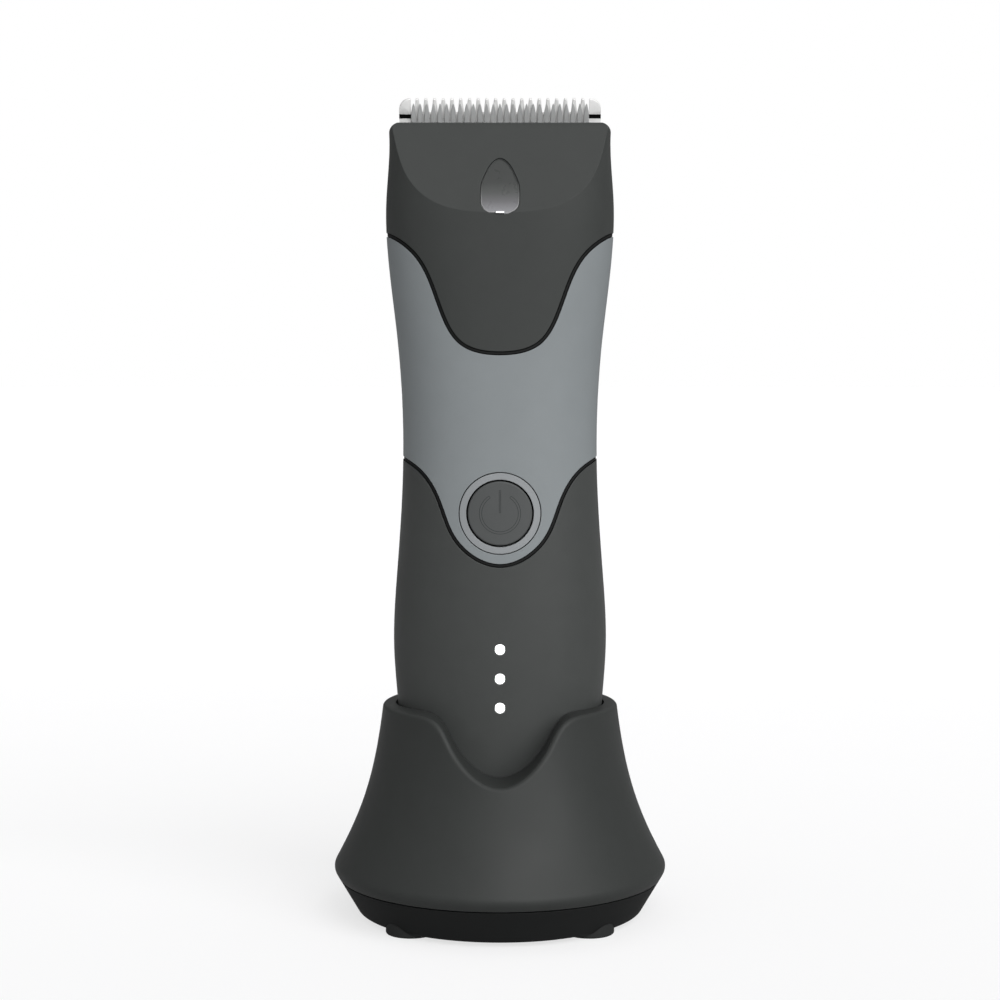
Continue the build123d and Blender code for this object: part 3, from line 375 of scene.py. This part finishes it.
dress(sealRubber, "button_seal", "shaft_seal")
dress(footRubber, "foot_front_left", "foot_front_right", "foot_rear_left", "foot_rear_right")
dress(metals["screwSteel"], "blade_screws", "heel_screws", "dock_screws", "motor_screws")
dress(metals["shaftSteel"], "motor_shaft", "eccentric_pin")
dress(metals["canSteel"], "motor_can")
dress(metals["ballastSteel"], "ballast_plate")
dress(metals["springSteel"], "tension_springs", "contact_spring_left", "contact_spring_right")
dress(metals["nickel"], "battery_tabs", "charge_socket")
dress(metals["contactBrass"], "contact_pads", "contact_barrels", "contact_pin_left", "contact_pin_right",
      "motor_terminals")
dress(boards["uprightBoard"], "main_board", "light_board")
dress(boards["flatBoard"], "dock_board")
dress(lensPaintedShade, "light_lens")
dress(lampLight, "lamp_pipes")
print("CAD nodes dressed")


# helpers for geometry trees and for turning their result into plain meshes
socketKinds = {int: "NodeSocketInt", float: "NodeSocketFloat"}


def newTree(name, sizes):
    # a modifier tree with one named input for each size, and one for the material
    tree = bpy.data.node_groups.new(name, "GeometryNodeTree")
    tree.is_modifier = True
    tree.interface.new_socket("Geometry", in_out="INPUT", socket_type="NodeSocketGeometry")
    for label, value in sizes.items():
        socket = tree.interface.new_socket(label, in_out="INPUT", socket_type=socketKinds[type(value)])
        socket.default_value = value
    tree.interface.new_socket("Material", in_out="INPUT", socket_type="NodeSocketMaterial")
    tree.interface.new_socket("Geometry", in_out="OUTPUT", socket_type="NodeSocketGeometry")
    return tree, addNode(tree, "NodeGroupInput").outputs


def endTree(tree, given, geometry):
    # realize, paint and hand out
    realized = addNode(tree, "GeometryNodeRealizeInstances")
    link(tree, geometry, realized.inputs[0])
    painted = addNode(tree, "GeometryNodeSetMaterial")
    link(tree, realized.outputs[0], painted.inputs["Geometry"])
    link(tree, given["Material"], painted.inputs["Material"])
    link(tree, painted.outputs[0], addNode(tree, "NodeGroupOutput").inputs[0])


def combine(tree, x, y, z):
    node = addNode(tree, "ShaderNodeCombineXYZ")
    for socket, value in zip(node.inputs, (x, y, z)):
        feed(tree, socket, value)
    return node.outputs[0]


def boolean(tree, operation, first, second):
    node = addNode(tree, "GeometryNodeMeshBoolean", operation=operation)
    if operation == "DIFFERENCE":
        link(tree, first, node.inputs["Mesh 1"])
    else:
        link(tree, first, node.inputs["Mesh 2"])
    link(tree, second, node.inputs["Mesh 2"])
    return node.outputs[0]


def join(tree, *parts):
    node = addNode(tree, "GeometryNodeJoinGeometry")
    for part in parts:
        link(tree, part, node.inputs[0])
    return node.outputs[0]


def moved(tree, geometry, place=None, turn=None):
    node = addNode(tree, "GeometryNodeTransform")
    link(tree, geometry, node.inputs["Geometry"])
    if place is not None:
        feed(tree, node.inputs["Translation"], place)
    if turn is not None:
        feed(tree, node.inputs["Rotation"], turn)
    return node.outputs[0]


def newObject(name, mesh):
    piece = bpy.data.objects.new(name, mesh)
    bpy.context.collection.objects.link(piece)
    return piece


def useTree(piece, tree, values, material):
    modifier = piece.modifiers.new(tree.name, "NODES")
    modifier.node_group = tree
    for item in tree.interface.items_tree:
        if item.in_out == "INPUT" and item.name in values:
            modifier[item.identifier] = values[item.name]
        elif item.in_out == "INPUT" and item.name == "Material":
            modifier[item.identifier] = material


def settle(piece, matrix=None, smoothAngle=35):
    # bake the modifiers into a plain mesh and put the piece in its place
    depsgraph = bpy.context.evaluated_depsgraph_get()
    mesh = bpy.data.meshes.new_from_object(piece.evaluated_get(depsgraph), depsgraph=depsgraph)
    piece.modifiers.clear()
    old = piece.data
    piece.data = mesh
    bpy.data.meshes.remove(old)
    if matrix is not None:
        mesh.transform(matrix)
    mesh.shade_smooth()
    mesh.set_sharp_from_angle(angle=math.radians(smoothAngle))
    mesh.update()
    return piece


def placed(piece, body, slot, *replaced):
    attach(piece, body)
    if replaced:
        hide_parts(*replaced)
    print(piece.name, len(piece.data.polygons), "faces")


def meshFrom(build):
    # a mesh from a bmesh recipe, with doubles merged and faces pointing outwards
    work = bmesh.new()
    build(work)
    bmesh.ops.remove_doubles(work, verts=work.verts, dist=1e-7)
    bmesh.ops.recalc_face_normals(work, faces=work.faces)
    mesh = bpy.data.meshes.new("shape")
    work.to_mesh(mesh)
    work.free()
    return mesh


def slab(work, outline, back, front):
    # closed prism over a flat outline
    rings = [[work.verts.new((x, y, z)) for x, y in outline] for z in (back, front)]
    work.faces.new(rings[0])
    work.faces.new(list(reversed(rings[1])))
    for i in range(len(outline)):
        j = (i + 1) % len(outline)
        work.faces.new((rings[0][i], rings[0][j], rings[1][j], rings[1][i]))


def arcPoints(center, radius, start, end, count):
    angles = [math.radians(start + (end - start) * i / count) for i in range(count + 1)]
    return [(center[0] + radius * math.cos(a), center[1] + radius * math.sin(a)) for a in angles]


def both(points):
    # a right half outline, closed with its mirror image
    return points + [(-x, y) for x, y in reversed(points)]


# blade teeth: one tree for the comb and the cutter
toothSizes = {
    "Count": 20, "Pitch": 1.8 * mm, "Tip Drop": 0.0, "Length": 3.8 * mm, "Tip Width": 0.4 * mm,
    "Root Width": 1.2 * mm, "Point Length": 3.6 * mm, "Flare": 0.5, "Thickness": 1.2 * mm, "Side Slope": 0.2,
}


def growToothRow():
    tree, given = newTree("toothRow", toothSizes)
    block = addNode(tree, "GeometryNodeMeshCube")
    for label, count in (("Vertices X", 2), ("Vertices Y", 12), ("Vertices Z", 2)):
        block.inputs[label].default_value = count
    spot = addNode(tree, "ShaderNodeSeparateXYZ")
    link(tree, addNode(tree, "GeometryNodeInputPosition").outputs[0], spot.inputs[0])
    along = calc(tree, "ADD", spot.outputs["Y"], 0.5)
    depth = calc(tree, "MULTIPLY", calc(tree, "POWER", along, 2.0), given["Length"])
    widening = calc(tree, "POWER", calc(tree, "DIVIDE", depth, given["Point Length"]), given["Flare"])
    widening = calc(tree, "MINIMUM", widening, 1.0)
    gain = calc(tree, "SUBTRACT", given["Root Width"], given["Tip Width"])
    width = calc(tree, "MULTIPLY_ADD", gain, widening, given["Tip Width"])
    inFront = calc(tree, "LESS_THAN", spot.outputs["Z"], 0.0)
    ease = calc(tree, "SUBTRACT", 1.0, calc(tree, "MULTIPLY", inFront, given["Side Slope"]))
    across = calc(tree, "MULTIPLY", calc(tree, "MULTIPLY", spot.outputs["X"], width), ease)
    down = calc(tree, "ADD", given["Tip Drop"], depth)
    through = calc(tree, "MULTIPLY", calc(tree, "SUBTRACT", spot.outputs["Z"], 0.5), given["Thickness"])
    shaped = addNode(tree, "GeometryNodeSetPosition")
    link(tree, block.outputs["Mesh"], shaped.inputs["Geometry"])
    link(tree, combine(tree, across, down, through), shaped.inputs["Position"])
    line = addNode(tree, "GeometryNodeMeshLine")
    link(tree, given["Count"], line.inputs["Count"])
    start = calc(tree, "MULTIPLY", calc(tree, "SUBTRACT", 1.0, given["Count"]), 0.5)
    link(tree, combine(tree, calc(tree, "MULTIPLY", start, given["Pitch"]), 0.0, 0.0),
         line.inputs["Start Location"])
    link(tree, combine(tree, given["Pitch"], 0.0, 0.0), line.inputs["Offset"])
    teeth = addNode(tree, "GeometryNodeInstanceOnPoints")
    link(tree, line.outputs["Mesh"], teeth.inputs["Points"])
    link(tree, shaped.outputs["Geometry"], teeth.inputs["Instance"])
    loose = addNode(tree, "GeometryNodeRealizeInstances")
    link(tree, teeth.outputs[0], loose.inputs[0])
    endTree(tree, given, boolean(tree, "UNION", given["Geometry"], loose.outputs[0]))
    return tree


toothRow = growToothRow()

comb = {
    "halfWidth": 21.1 * mm, "length": 20 * mm, "thickness": 1.2 * mm, "tilt": 24, "taperStart": 9 * mm,
    "footHalfWidth": 16.5 * mm, "root": 3.05 * mm, "tabWidth": 2.45 * mm, "tabRound": 2.35 * mm,
    "notchDrop": 3.15 * mm, "notchHeight": 0.85 * mm, "notchDepth": 0.6 * mm,
    "screwSide": 14 * mm, "screwDrop": 16 * mm, "holeRadius": 1.05 * mm, "sinkRadius": 2.0 * mm,
    "edge": 0.06 * mm,
    "teeth": {"Count": 20, "Pitch": 1.823 * mm, "Length": 3.25 * mm, "Tip Width": 0.4 * mm,
              "Root Width": 1.24 * mm, "Point Length": 3.15 * mm, "Flare": 0.55, "Thickness": 1.2 * mm,
              "Side Slope": 0.12},
}
bladeLow, bladeHigh = nodePoints("fixed_blade")
lean = math.radians(comb["tilt"])
bladeTip = Vector((0, bladeLow.y + comb["thickness"] * math.cos(lean), bladeHigh.z))
bladeMatrix = Matrix((
    (1, 0, 0, bladeTip.x),
    (0, math.sin(lean), math.cos(lean), bladeTip.y),
    (0, -math.cos(lean), math.sin(lean), bladeTip.z),
    (0, 0, 0, 1),
))


def makeComb():
    # plate with round-shouldered end tabs, toothed by the tree, then notched and countersunk
    inner = comb["halfWidth"] - comb["tabWidth"]
    corner = arcPoints((comb["halfWidth"] - comb["tabRound"], comb["tabRound"]), comb["tabRound"], -90, 0, 10)
    right = [(inner, comb["root"]), (inner, 0)] + corner
    right += [(comb["halfWidth"], comb["taperStart"]), (comb["footHalfWidth"], comb["length"])]
    outline = both(right)
    plate = newObject("combBlade", meshFrom(lambda work: slab(work, outline, -comb["thickness"], 0)))

    def cuts(work):
        for side in (-1, 1):
            left = side * (comb["halfWidth"] - comb["tabWidth"] / 2)
            middle = comb["notchDrop"] + comb["notchHeight"] / 2
            notch = Matrix.Translation((left, middle, -comb["thickness"]))
            size = Matrix.Diagonal((comb["tabWidth"] * 1.06, comb["notchHeight"], 2 * comb["notchDepth"], 1))
            bmesh.ops.create_cube(work, size=1, matrix=notch @ size)
            sink = comb["sinkRadius"] - comb["holeRadius"]
            hole = Matrix.Translation((side * comb["screwSide"], comb["screwDrop"], -sink / 2))
            bmesh.ops.create_cone(work, cap_ends=True, segments=40, radius1=comb["holeRadius"],
                                  radius2=comb["sinkRadius"] + 0.02 * mm, depth=sink + 0.02 * mm, matrix=hole)
            through = Matrix.Translation((side * comb["screwSide"], comb["screwDrop"], -comb["thickness"]))
            bmesh.ops.create_cone(work, cap_ends=True, segments=40, radius1=comb["holeRadius"] * 0.98,
                                  radius2=comb["holeRadius"] * 0.98, depth=2 * mm, matrix=through)

    tool = newObject("combCuts", meshFrom(cuts))
    useTree(plate, toothRow, comb["teeth"], combCeramic)
    cutting = plate.modifiers.new("cuts", "BOOLEAN")
    cutting.object = tool
    cutting.solver = "EXACT"
    cutting.use_self = True
    easing = plate.modifiers.new("easing", "BEVEL")
    easing.width = comb["edge"]
    easing.segments = 2
    easing.limit_method = "ANGLE"
    easing.angle_limit = math.radians(40)
    settle(plate, bladeMatrix)
    bpy.data.objects.remove(tool)
    placed(plate, "blade_module", "comb_ceramic", "fixed_blade")


makeComb()

cutter = {
    "thickness": 1.0 * mm, "front": 2.25 * mm, "root": 7.0 * mm, "shoulder": 9.5 * mm, "tail": 16 * mm,
    "tailHalfWidth": 9 * mm, "edge": 0.04 * mm,
    "teeth": {"Count": 27, "Pitch": 1.39 * mm, "Tip Drop": 0.8 * mm, "Length": 6.3 * mm,
              "Tip Width": 0.08 * mm, "Root Width": 1.1 * mm, "Point Length": 2.1 * mm, "Flare": 0.7,
              "Thickness": 0.5 * mm, "Side Slope": 0.14},
}


def makeCutter():
    low, high = nodePoints("cutter")
    halfWidth = high.x
    right = [(halfWidth, cutter["root"]), (halfWidth, cutter["shoulder"]),
             (cutter["tailHalfWidth"], cutter["shoulder"]), (cutter["tailHalfWidth"], cutter["tail"])]
    outline = both(right)
    plate = newObject("cutterBlade", meshFrom(lambda work: slab(work, outline, -cutter["thickness"], 0)))
    useTree(plate, toothRow, cutter["teeth"], cutterCeramic)
    easing = plate.modifiers.new("easing", "BEVEL")
    easing.width = cutter["edge"]
    easing.segments = 2
    easing.limit_method = "ANGLE"
    easing.angle_limit = math.radians(40)
    lift = Matrix.Translation((0, 0, cutter["thickness"] - cutter["front"]))
    settle(plate, bladeMatrix @ lift)
    placed(plate, "cutter", "cutter_ceramic", "cutter")


makeCutter()

# screws: one tree sets a threaded screw on every vertex of the piece it is given
screwSizes = {
    "Head Radius": 2.1 * mm, "Neck Radius": 2.1 * mm, "Head Height": 1.4 * mm, "Shank Radius": 1.0 * mm,
    "Shank Length": 12 * mm, "Threads": 20, "Recess": 2.1 * mm, "Recess Width": 0.5 * mm,
    "Recess Depth": 0.7 * mm, "Turn": 0.0,
}


def growScrews():
    tree, given = newTree("threadedScrews", screwSizes)
    minusHead = calc(tree, "MULTIPLY", given["Head Height"], -1.0)

    def drum(topRadius, footRadius, depth, sides):
        node = addNode(tree, "GeometryNodeMeshCone")
        node.inputs["Vertices"].default_value = sides
        feed(tree, node.inputs["Radius Top"], topRadius)
        feed(tree, node.inputs["Radius Bottom"], footRadius)
        feed(tree, node.inputs["Depth"], depth)
        return node.outputs["Mesh"]

    head = moved(tree, drum(given["Head Radius"], given["Neck Radius"], given["Head Height"], 36),
                 combine(tree, 0.0, 0.0, minusHead))
    deep = calc(tree, "MULTIPLY", given["Recess Depth"], 2.0)
    bars = []
    for swap in (False, True):
        bar = addNode(tree, "GeometryNodeMeshCube")
        sizes = (given["Recess"], given["Recess Width"])
        first, second = reversed(sizes) if swap else sizes
        link(tree, combine(tree, first, second, deep), bar.inputs["Size"])
        bars.append(bar.outputs["Mesh"])
    cross = boolean(tree, "UNION", bars[0], bars[1])
    head = boolean(tree, "DIFFERENCE", head, cross)
    core = calc(tree, "MULTIPLY", given["Shank Radius"], 0.78)
    lowEnd = calc(tree, "SUBTRACT", minusHead, given["Shank Length"])
    shank = moved(tree, drum(core, calc(tree, "MULTIPLY", core, 0.55), given["Shank Length"], 20),
                  combine(tree, 0.0, 0.0, lowEnd))
    pitch = calc(tree, "DIVIDE", given["Shank Length"], given["Threads"])
    ridge = drum(core, given["Shank Radius"], calc(tree, "MULTIPLY", pitch, 0.5), 20)
    rungs = addNode(tree, "GeometryNodeMeshLine")
    link(tree, calc(tree, "SUBTRACT", given["Threads"], 1.0), rungs.inputs["Count"])
    firstRung = calc(tree, "SUBTRACT", minusHead, pitch)
    link(tree, combine(tree, 0.0, 0.0, firstRung), rungs.inputs["Start Location"])
    link(tree, combine(tree, 0.0, 0.0, calc(tree, "MULTIPLY", pitch, -1.0)), rungs.inputs["Offset"])
    thread = addNode(tree, "GeometryNodeInstanceOnPoints")
    link(tree, rungs.outputs["Mesh"], thread.inputs["Points"])
    link(tree, ridge, thread.inputs["Instance"])
    screw = join(tree, head, shank, thread.outputs[0])
    screws = addNode(tree, "GeometryNodeInstanceOnPoints")
    link(tree, given["Geometry"], screws.inputs["Points"])
    link(tree, screw, screws.inputs["Instance"])
    link(tree, combine(tree, given["Turn"], 0.0, 0.0), screws.inputs["Rotation"])
    endTree(tree, given, screws.outputs[0])
    return tree


threadedScrews = growScrews()


def islands(name):
    # boxes of the separate solids in one CAD node
    work = bmesh.new()
    work.from_mesh(nodes[name].data)
    bmesh.ops.remove_doubles(work, verts=work.verts, dist=1e-6)
    left = set(work.verts)
    boxes = []
    while left:
        group = [left.pop()]
        for vert in group:
            for edge in vert.link_edges:
                other = edge.other_vert(vert)
                if other in left:
                    left.remove(other)
                    group.append(other)
        spots = [vert.co for vert in group]
        low = Vector([min(spot[k] for spot in spots) for k in range(3)])
        high = Vector([max(spot[k] for spot in spots) for k in range(3)])
        boxes.append((low, high))
    work.free()
    return sorted(boxes, key=lambda box: tuple(round(v, 5) for v in box[0]))


def screwSet(name, spots, sizes, body, replaced):
    mesh = bpy.data.meshes.new(name)
    mesh.from_pydata([tuple(spot) for spot in spots], [], [])
    piece = newObject(name, mesh)
    useTree(piece, threadedScrews, sizes, metals["screwSteel"])
    settle(piece)
    placed(piece, body, "screw_steel", replaced)


def undersides(name):
    # middle of each screw's lower face
    return [Vector(((low.x + high.x) / 2, (low.y + high.y) / 2, low.z)) for low, high in islands(name)]


screwSet("dockScrews", undersides("dock_screws"), {
    "Head Radius": 2.1 * mm, "Neck Radius": 2.1 * mm, "Head Height": 1.4 * mm, "Shank Radius": 1.0 * mm,
    "Shank Length": 12 * mm, "Threads": 20, "Recess": 2.1 * mm, "Recess Width": 0.52 * mm,
    "Recess Depth": 0.7 * mm, "Turn": math.pi}, "dock", "dock_screws")
screwSet("heelScrews", undersides("heel_screws"), {
    "Head Radius": 1.75 * mm, "Neck Radius": 1.75 * mm, "Head Height": 0.8 * mm, "Shank Radius": 0.9 * mm,
    "Shank Length": 7 * mm, "Threads": 12, "Recess": 1.75 * mm, "Recess Width": 0.44 * mm,
    "Recess Depth": 0.4 * mm, "Turn": math.pi}, "handset", "heel_screws")
bladeScrewSink = -0.05 * mm
bladeSpots = [bladeMatrix @ Vector((side * comb["screwSide"], comb["screwDrop"], bladeScrewSink))
              for side in (-1, 1)]
screwSet("bladeScrews", bladeSpots, {
    "Head Radius": 1.9 * mm, "Neck Radius": 0.95 * mm, "Head Height": 0.95 * mm, "Shank Radius": 0.94 * mm,
    "Shank Length": 3.8 * mm, "Threads": 7, "Recess": 2.0 * mm, "Recess Width": 0.45 * mm,
    "Recess Depth": 0.5 * mm, "Turn": lean - math.pi / 2}, "blade_module", "blade_screws")
print("blades and screws built")

# power mark: the outline of the symbol, laid close on the button's cap as a thin dark line, painted shade
# along the engraved symbol's edges
powerMark = {
    "radius": 3.95 * mm, "width": 0.48 * mm, "gapAngle": 32, "barTop": 4.7 * mm, "barFoot": 0.15 * mm,
    "barWidth": 0.3 * mm, "line": 0.1 * mm, "proud": 0.015 * mm, "sunk": 0.06 * mm,
    "arcSteps": 72, "barSteps": 14,
}
# mark colour: painted shade, darker than the cap
markEdgeShadeLook = dict(color="2e3030", grainScale=5600, mottle=0.02, edgeRadius=0.02 * mm, paintedEdgeLight=1.05,
                specular=0.2)


def makePowerMark():
    work = bmesh.new()
    work.from_mesh(nodes["power_button"].data)
    bmesh.ops.remove_doubles(work, verts=work.verts, dist=1e-6)
    surface = BVHTree.FromBMesh(work)
    work.free()
    low, high = nodePoints("power_button")
    center = (low + high) / 2

    def faceAt(x, z):
        return surface.ray_cast(Vector((x, low.y - 10 * mm, z)), Vector((0, 1, 0)))[0].y

    def closedLine(tool, points):
        # a thin closed strip along a loop of points, following the cap's face
        rings = []
        for index, (x, z) in enumerate(points):
            before, after = points[index - 1], points[(index + 1) % len(points)]
            along = Vector((after[0] - before[0], after[1] - before[1])).normalized()
            side = Vector((-along.y, along.x)) * powerMark["line"] / 2
            ring = []
            for sign, shift in ((-1, -powerMark["proud"]), (1, -powerMark["proud"]),
                                (1, powerMark["sunk"]), (-1, powerMark["sunk"])):
                px, pz = x + sign * side.x, z + sign * side.y
                ring.append(tool.verts.new((px, faceAt(px, pz) + shift, pz)))
            rings.append(ring)
        for first, second in zip(rings, rings[1:] + rings[:1]):
            for i in range(4):
                j = (i + 1) % 4
                tool.faces.new((first[i], first[j], second[j], second[i]))

    def lines(tool):
        gap, middle = powerMark["gapAngle"], (center.x, center.z)
        outer = arcPoints(middle, powerMark["radius"] + powerMark["width"] / 2, 90 + gap, 450 - gap,
                          powerMark["arcSteps"])
        inner = arcPoints(middle, powerMark["radius"] - powerMark["width"] / 2, 90 + gap, 450 - gap,
                          powerMark["arcSteps"])
        closedLine(tool, outer + list(reversed(inner)))
        steps = powerMark["barSteps"]
        rise = (powerMark["barTop"] - powerMark["barFoot"]) / steps
        right = [(center.x + powerMark["barWidth"] / 2, center.z + powerMark["barFoot"] + rise * i)
                 for i in range(steps + 1)]
        closedLine(tool, right + [(2 * center.x - x, z) for x, z in reversed(right)])

    piece = newObject("powerMark", meshFrom(lines))
    piece.data.materials.append(mouldedPlastic("markEdgeShade", markEdgeShadeLook))
    settle(piece)
    placed(piece, "button", "button_plastic")


makePowerMark()

# work light: rim around the lens and the lit bar at its foot
workLight = {
    "tilt": 27.6, "rimInset": 0.16 * mm, "rimWire": 0.11 * mm, "barWidth": 1.65 * mm,
    "barHeight": 0.38 * mm, "barDepth": 0.22 * mm, "barFoot": 0.12 * mm, "barSunk": 0.1 * mm,
    "barEdge": 0.05 * mm, "barGlow": 0.25, "frameHeight": 0.2 * mm, "frameShare": 0.8,
}
facetLean = math.radians(workLight["tilt"])
facetOut = Vector((0, -math.cos(facetLean), math.sin(facetLean)))
facetUp = Vector((0, math.sin(facetLean), math.cos(facetLean)))


def growRim():
    tree, given = newTree("lensRim", {"Wire": 0.1 * mm})
    path = addNode(tree, "GeometryNodeMeshToCurve")
    link(tree, given["Geometry"], path.inputs[0])
    profile = addNode(tree, "GeometryNodeCurvePrimitiveCircle")
    profile.inputs["Resolution"].default_value = 10
    link(tree, given["Wire"], profile.inputs["Radius"])
    swept = addNode(tree, "GeometryNodeCurveToMesh")
    link(tree, path.outputs[0], swept.inputs["Curve"])
    link(tree, profile.outputs["Curve"], swept.inputs["Profile Curve"])
    endTree(tree, given, swept.outputs[0])
    return tree


# rim tones by height: painted light and shade, pale at the foot and darker towards the tip
rimShadeLook = {
    "tones": [(0.0, "9c9c9d"), (0.25, "7e7e7f"), (0.42, "525453"), (0.6, "313332"), (1.0, "303231")],
    "roughness": 0.35,
}


def lensOutline():
    # the front edge of the lens, in order
    work = bmesh.new()
    work.from_mesh(nodes["light_lens"].data)
    bmesh.ops.remove_doubles(work, verts=work.verts, dist=1e-6)
    work.faces.ensure_lookup_table()
    front = max(vert.co.dot(facetOut) for vert in work.verts)
    face = {f for f in work.faces if all(abs(v.co.dot(facetOut) - front) < 0.02 * mm for v in f.verts)}
    rim = [edge for edge in work.edges if sum(f in face for f in edge.link_faces) == 1]
    ordered = [rim[0].verts[0], rim[0].verts[1]]
    rest = set(rim[1:])
    while rest:
        step = next((edge for edge in rest if ordered[-1] in edge.verts), None)
        if step is None:
            break
        rest.remove(step)
        ordered.append(step.other_vert(ordered[-1]))
    spots = [vert.co.copy() for vert in ordered[:-1]]
    work.free()
    return spots


def makeLightTrim():
    spots = lensOutline()
    middle = sum(spots, Vector()) / len(spots)
    ring = [spot + (middle - spot).normalized() * workLight["rimInset"] for spot in spots]
    mesh = bpy.data.meshes.new("lensRim")
    mesh.from_pydata([tuple(spot) for spot in ring], [(i, (i + 1) % len(ring)) for i in range(len(ring))], [])
    rim = newObject("lensRim", mesh)
    rimPaintedShade = shadedLensPaint("rimPaintedShade", rimShadeLook, (lensLow.z, lensHigh.z))
    useTree(rim, growRim(), {"Wire": workLight["rimWire"]}, rimPaintedShade)
    settle(rim)
    placed(rim, "handset", "lens_plastic")
    lowest = min(spots, key=lambda spot: spot.dot(facetUp))
    start = Vector((0, lowest.y, lowest.z)) + facetUp * workLight["barFoot"]
    matrix = Matrix((
        (1, 0, 0, 0),
        (0, facetUp.y, facetOut.y, start.y),
        (0, facetUp.z, facetOut.z, start.z),
        (0, 0, 0, 1),
    ))
    half = workLight["barWidth"] / 2
    barLight = lampGlow("barLight", workLight["barGlow"])
    rows = [("lightBar", 0, workLight["barHeight"], workLight["barDepth"], barLight, "lamp_body"),
            ("lightBarFrame", -workLight["frameHeight"], 0, workLight["barDepth"] * workLight["frameShare"],
             plastics["insertPlastic"], "carrier_plastic")]
    for name, foot, top, depth, material, slot in rows:
        outline = [(-half, foot), (half, foot), (half, top), (-half, top)]
        piece = newObject(name, meshFrom(lambda work: slab(work, outline, -workLight["barSunk"], depth)))
        piece.data.materials.append(material)
        easing = piece.modifiers.new("easing", "BEVEL")
        easing.width = workLight["barEdge"]
        easing.segments = 3
        settle(piece, matrix)
        placed(piece, "handset", slot)


makeLightTrim()
print("button mark and work light built")

studio = {
    "cameraPlace": (0, -0.462, 0.1198), "cameraDown": 4.0, "lens": 79.3, "sensor": 36, "nearest": 0.01,
    "floorSize": 12, "floorColor": "8c8c8d", "floorSeen": 0.68, "floorFade": 0.08, "floorLight": 0.2,
    "fadeStart": -0.15, "fadeEnd": 0.5, "backdrop": 1.0, "roomFront": 0.5, "roomBack": 0.14,
}
# soft distant lights: compass angle from the camera side towards the right, height, strength, softness
suns = {
    "keySun": dict(turn=30, height=30, power=3.0, angle=60),
    "fillSun": dict(turn=-60, height=25, power=0.2, angle=90),
    "topSun": dict(turn=0, height=88, power=0.4, angle=90),
    "backSun": dict(turn=170, height=50, power=0.3, angle=90),
}


def makeStudio():
    bpy.ops.mesh.primitive_plane_add(size=studio["floorSize"])
    floor = bpy.context.object
    floor.name = "studioFloor"
    material, tree, shader = newMaterial("floorPaint")
    speck = noiseOn(tree, objectPoint(tree), 30, 3.0, 0.5)
    pale = linear(studio["floorColor"])
    link(tree, ramp(tree, speck, [(0.3, tinted(pale, 0.99)), (0.7, pale)]), shader.inputs["Base Color"])
    shader.inputs["Roughness"].default_value = 0.8
    shader.inputs["Specular IOR Level"].default_value = 0.0
    shader.inputs["Emission Color"].default_value = (1, 1, 1, 1)
    # a lit table top: paler away from the front, and dimmer for the light it sends up
    parts = addNode(tree, "ShaderNodeSeparateXYZ")
    link(tree, objectPoint(tree), parts.inputs[0])
    seenGlow = remap(tree, parts.outputs["Y"], studio["fadeStart"], studio["fadeEnd"], studio["floorSeen"],
                     studio["floorSeen"] + studio["floorFade"])
    seen = addNode(tree, "ShaderNodeLightPath").outputs["Is Camera Ray"]
    extra = calc(tree, "MULTIPLY", seen, calc(tree, "SUBTRACT", seenGlow, studio["floorLight"]))
    link(tree, calc(tree, "ADD", extra, studio["floorLight"]), shader.inputs["Emission Strength"])
    floor.data.materials.append(material)
    world = bpy.data.worlds.new("paleRoom")
    bpy.context.scene.world = world
    world.use_nodes = True
    tree = world.node_tree
    room = tree.nodes["Background"]
    room.inputs["Color"].default_value = (1, 1, 1, 1)
    direction = addNode(tree, "ShaderNodeTexCoord")
    parts = addNode(tree, "ShaderNodeSeparateXYZ")
    link(tree, direction.outputs["Generated"], parts.inputs[0])
    link(tree, remap(tree, parts.outputs["Y"], -1, 1, studio["roomFront"], studio["roomBack"]),
         room.inputs["Strength"])
    wall = addNode(tree, "ShaderNodeBackground")
    wall.inputs["Color"].default_value = (1, 1, 1, 1)
    wall.inputs["Strength"].default_value = studio["backdrop"]
    seen = addNode(tree, "ShaderNodeLightPath")
    blend = addNode(tree, "ShaderNodeMixShader")
    link(tree, seen.outputs["Is Camera Ray"], blend.inputs[0])
    link(tree, room.outputs[0], blend.inputs[1])
    link(tree, wall.outputs[0], blend.inputs[2])
    link(tree, blend.outputs[0], tree.nodes["World Output"].inputs["Surface"])


def softSun(name, look):
    light = bpy.data.lights.new(name, "SUN")
    light.energy = look["power"]
    light.angle = math.radians(look["angle"])
    lamp = bpy.data.objects.new(name, light)
    bpy.context.collection.objects.link(lamp)
    turn, height = math.radians(look["turn"]), math.radians(look["height"])
    place = Vector((math.sin(turn) * math.cos(height), -math.cos(turn) * math.cos(height), math.sin(height)))
    lamp.rotation_mode = "QUATERNION"
    lamp.rotation_quaternion = (-place).to_track_quat("-Z", "Y")
    lamp.location = place


makeStudio()
for name, look in suns.items():
    softSun(name, look)

cameraData = bpy.data.cameras.new("viewCamera")
cameraData.lens = studio["lens"]
cameraData.sensor_width = studio["sensor"]
cameraData.clip_start = studio["nearest"]
camera = newObject("viewCamera", cameraData)
camera.location = studio["cameraPlace"]
camera.rotation_euler = (math.radians(90 - studio["cameraDown"]), 0, 0)
bpy.context.scene.camera = camera
bpy.context.scene.view_settings.view_transform = "Standard"
print("studio ready")
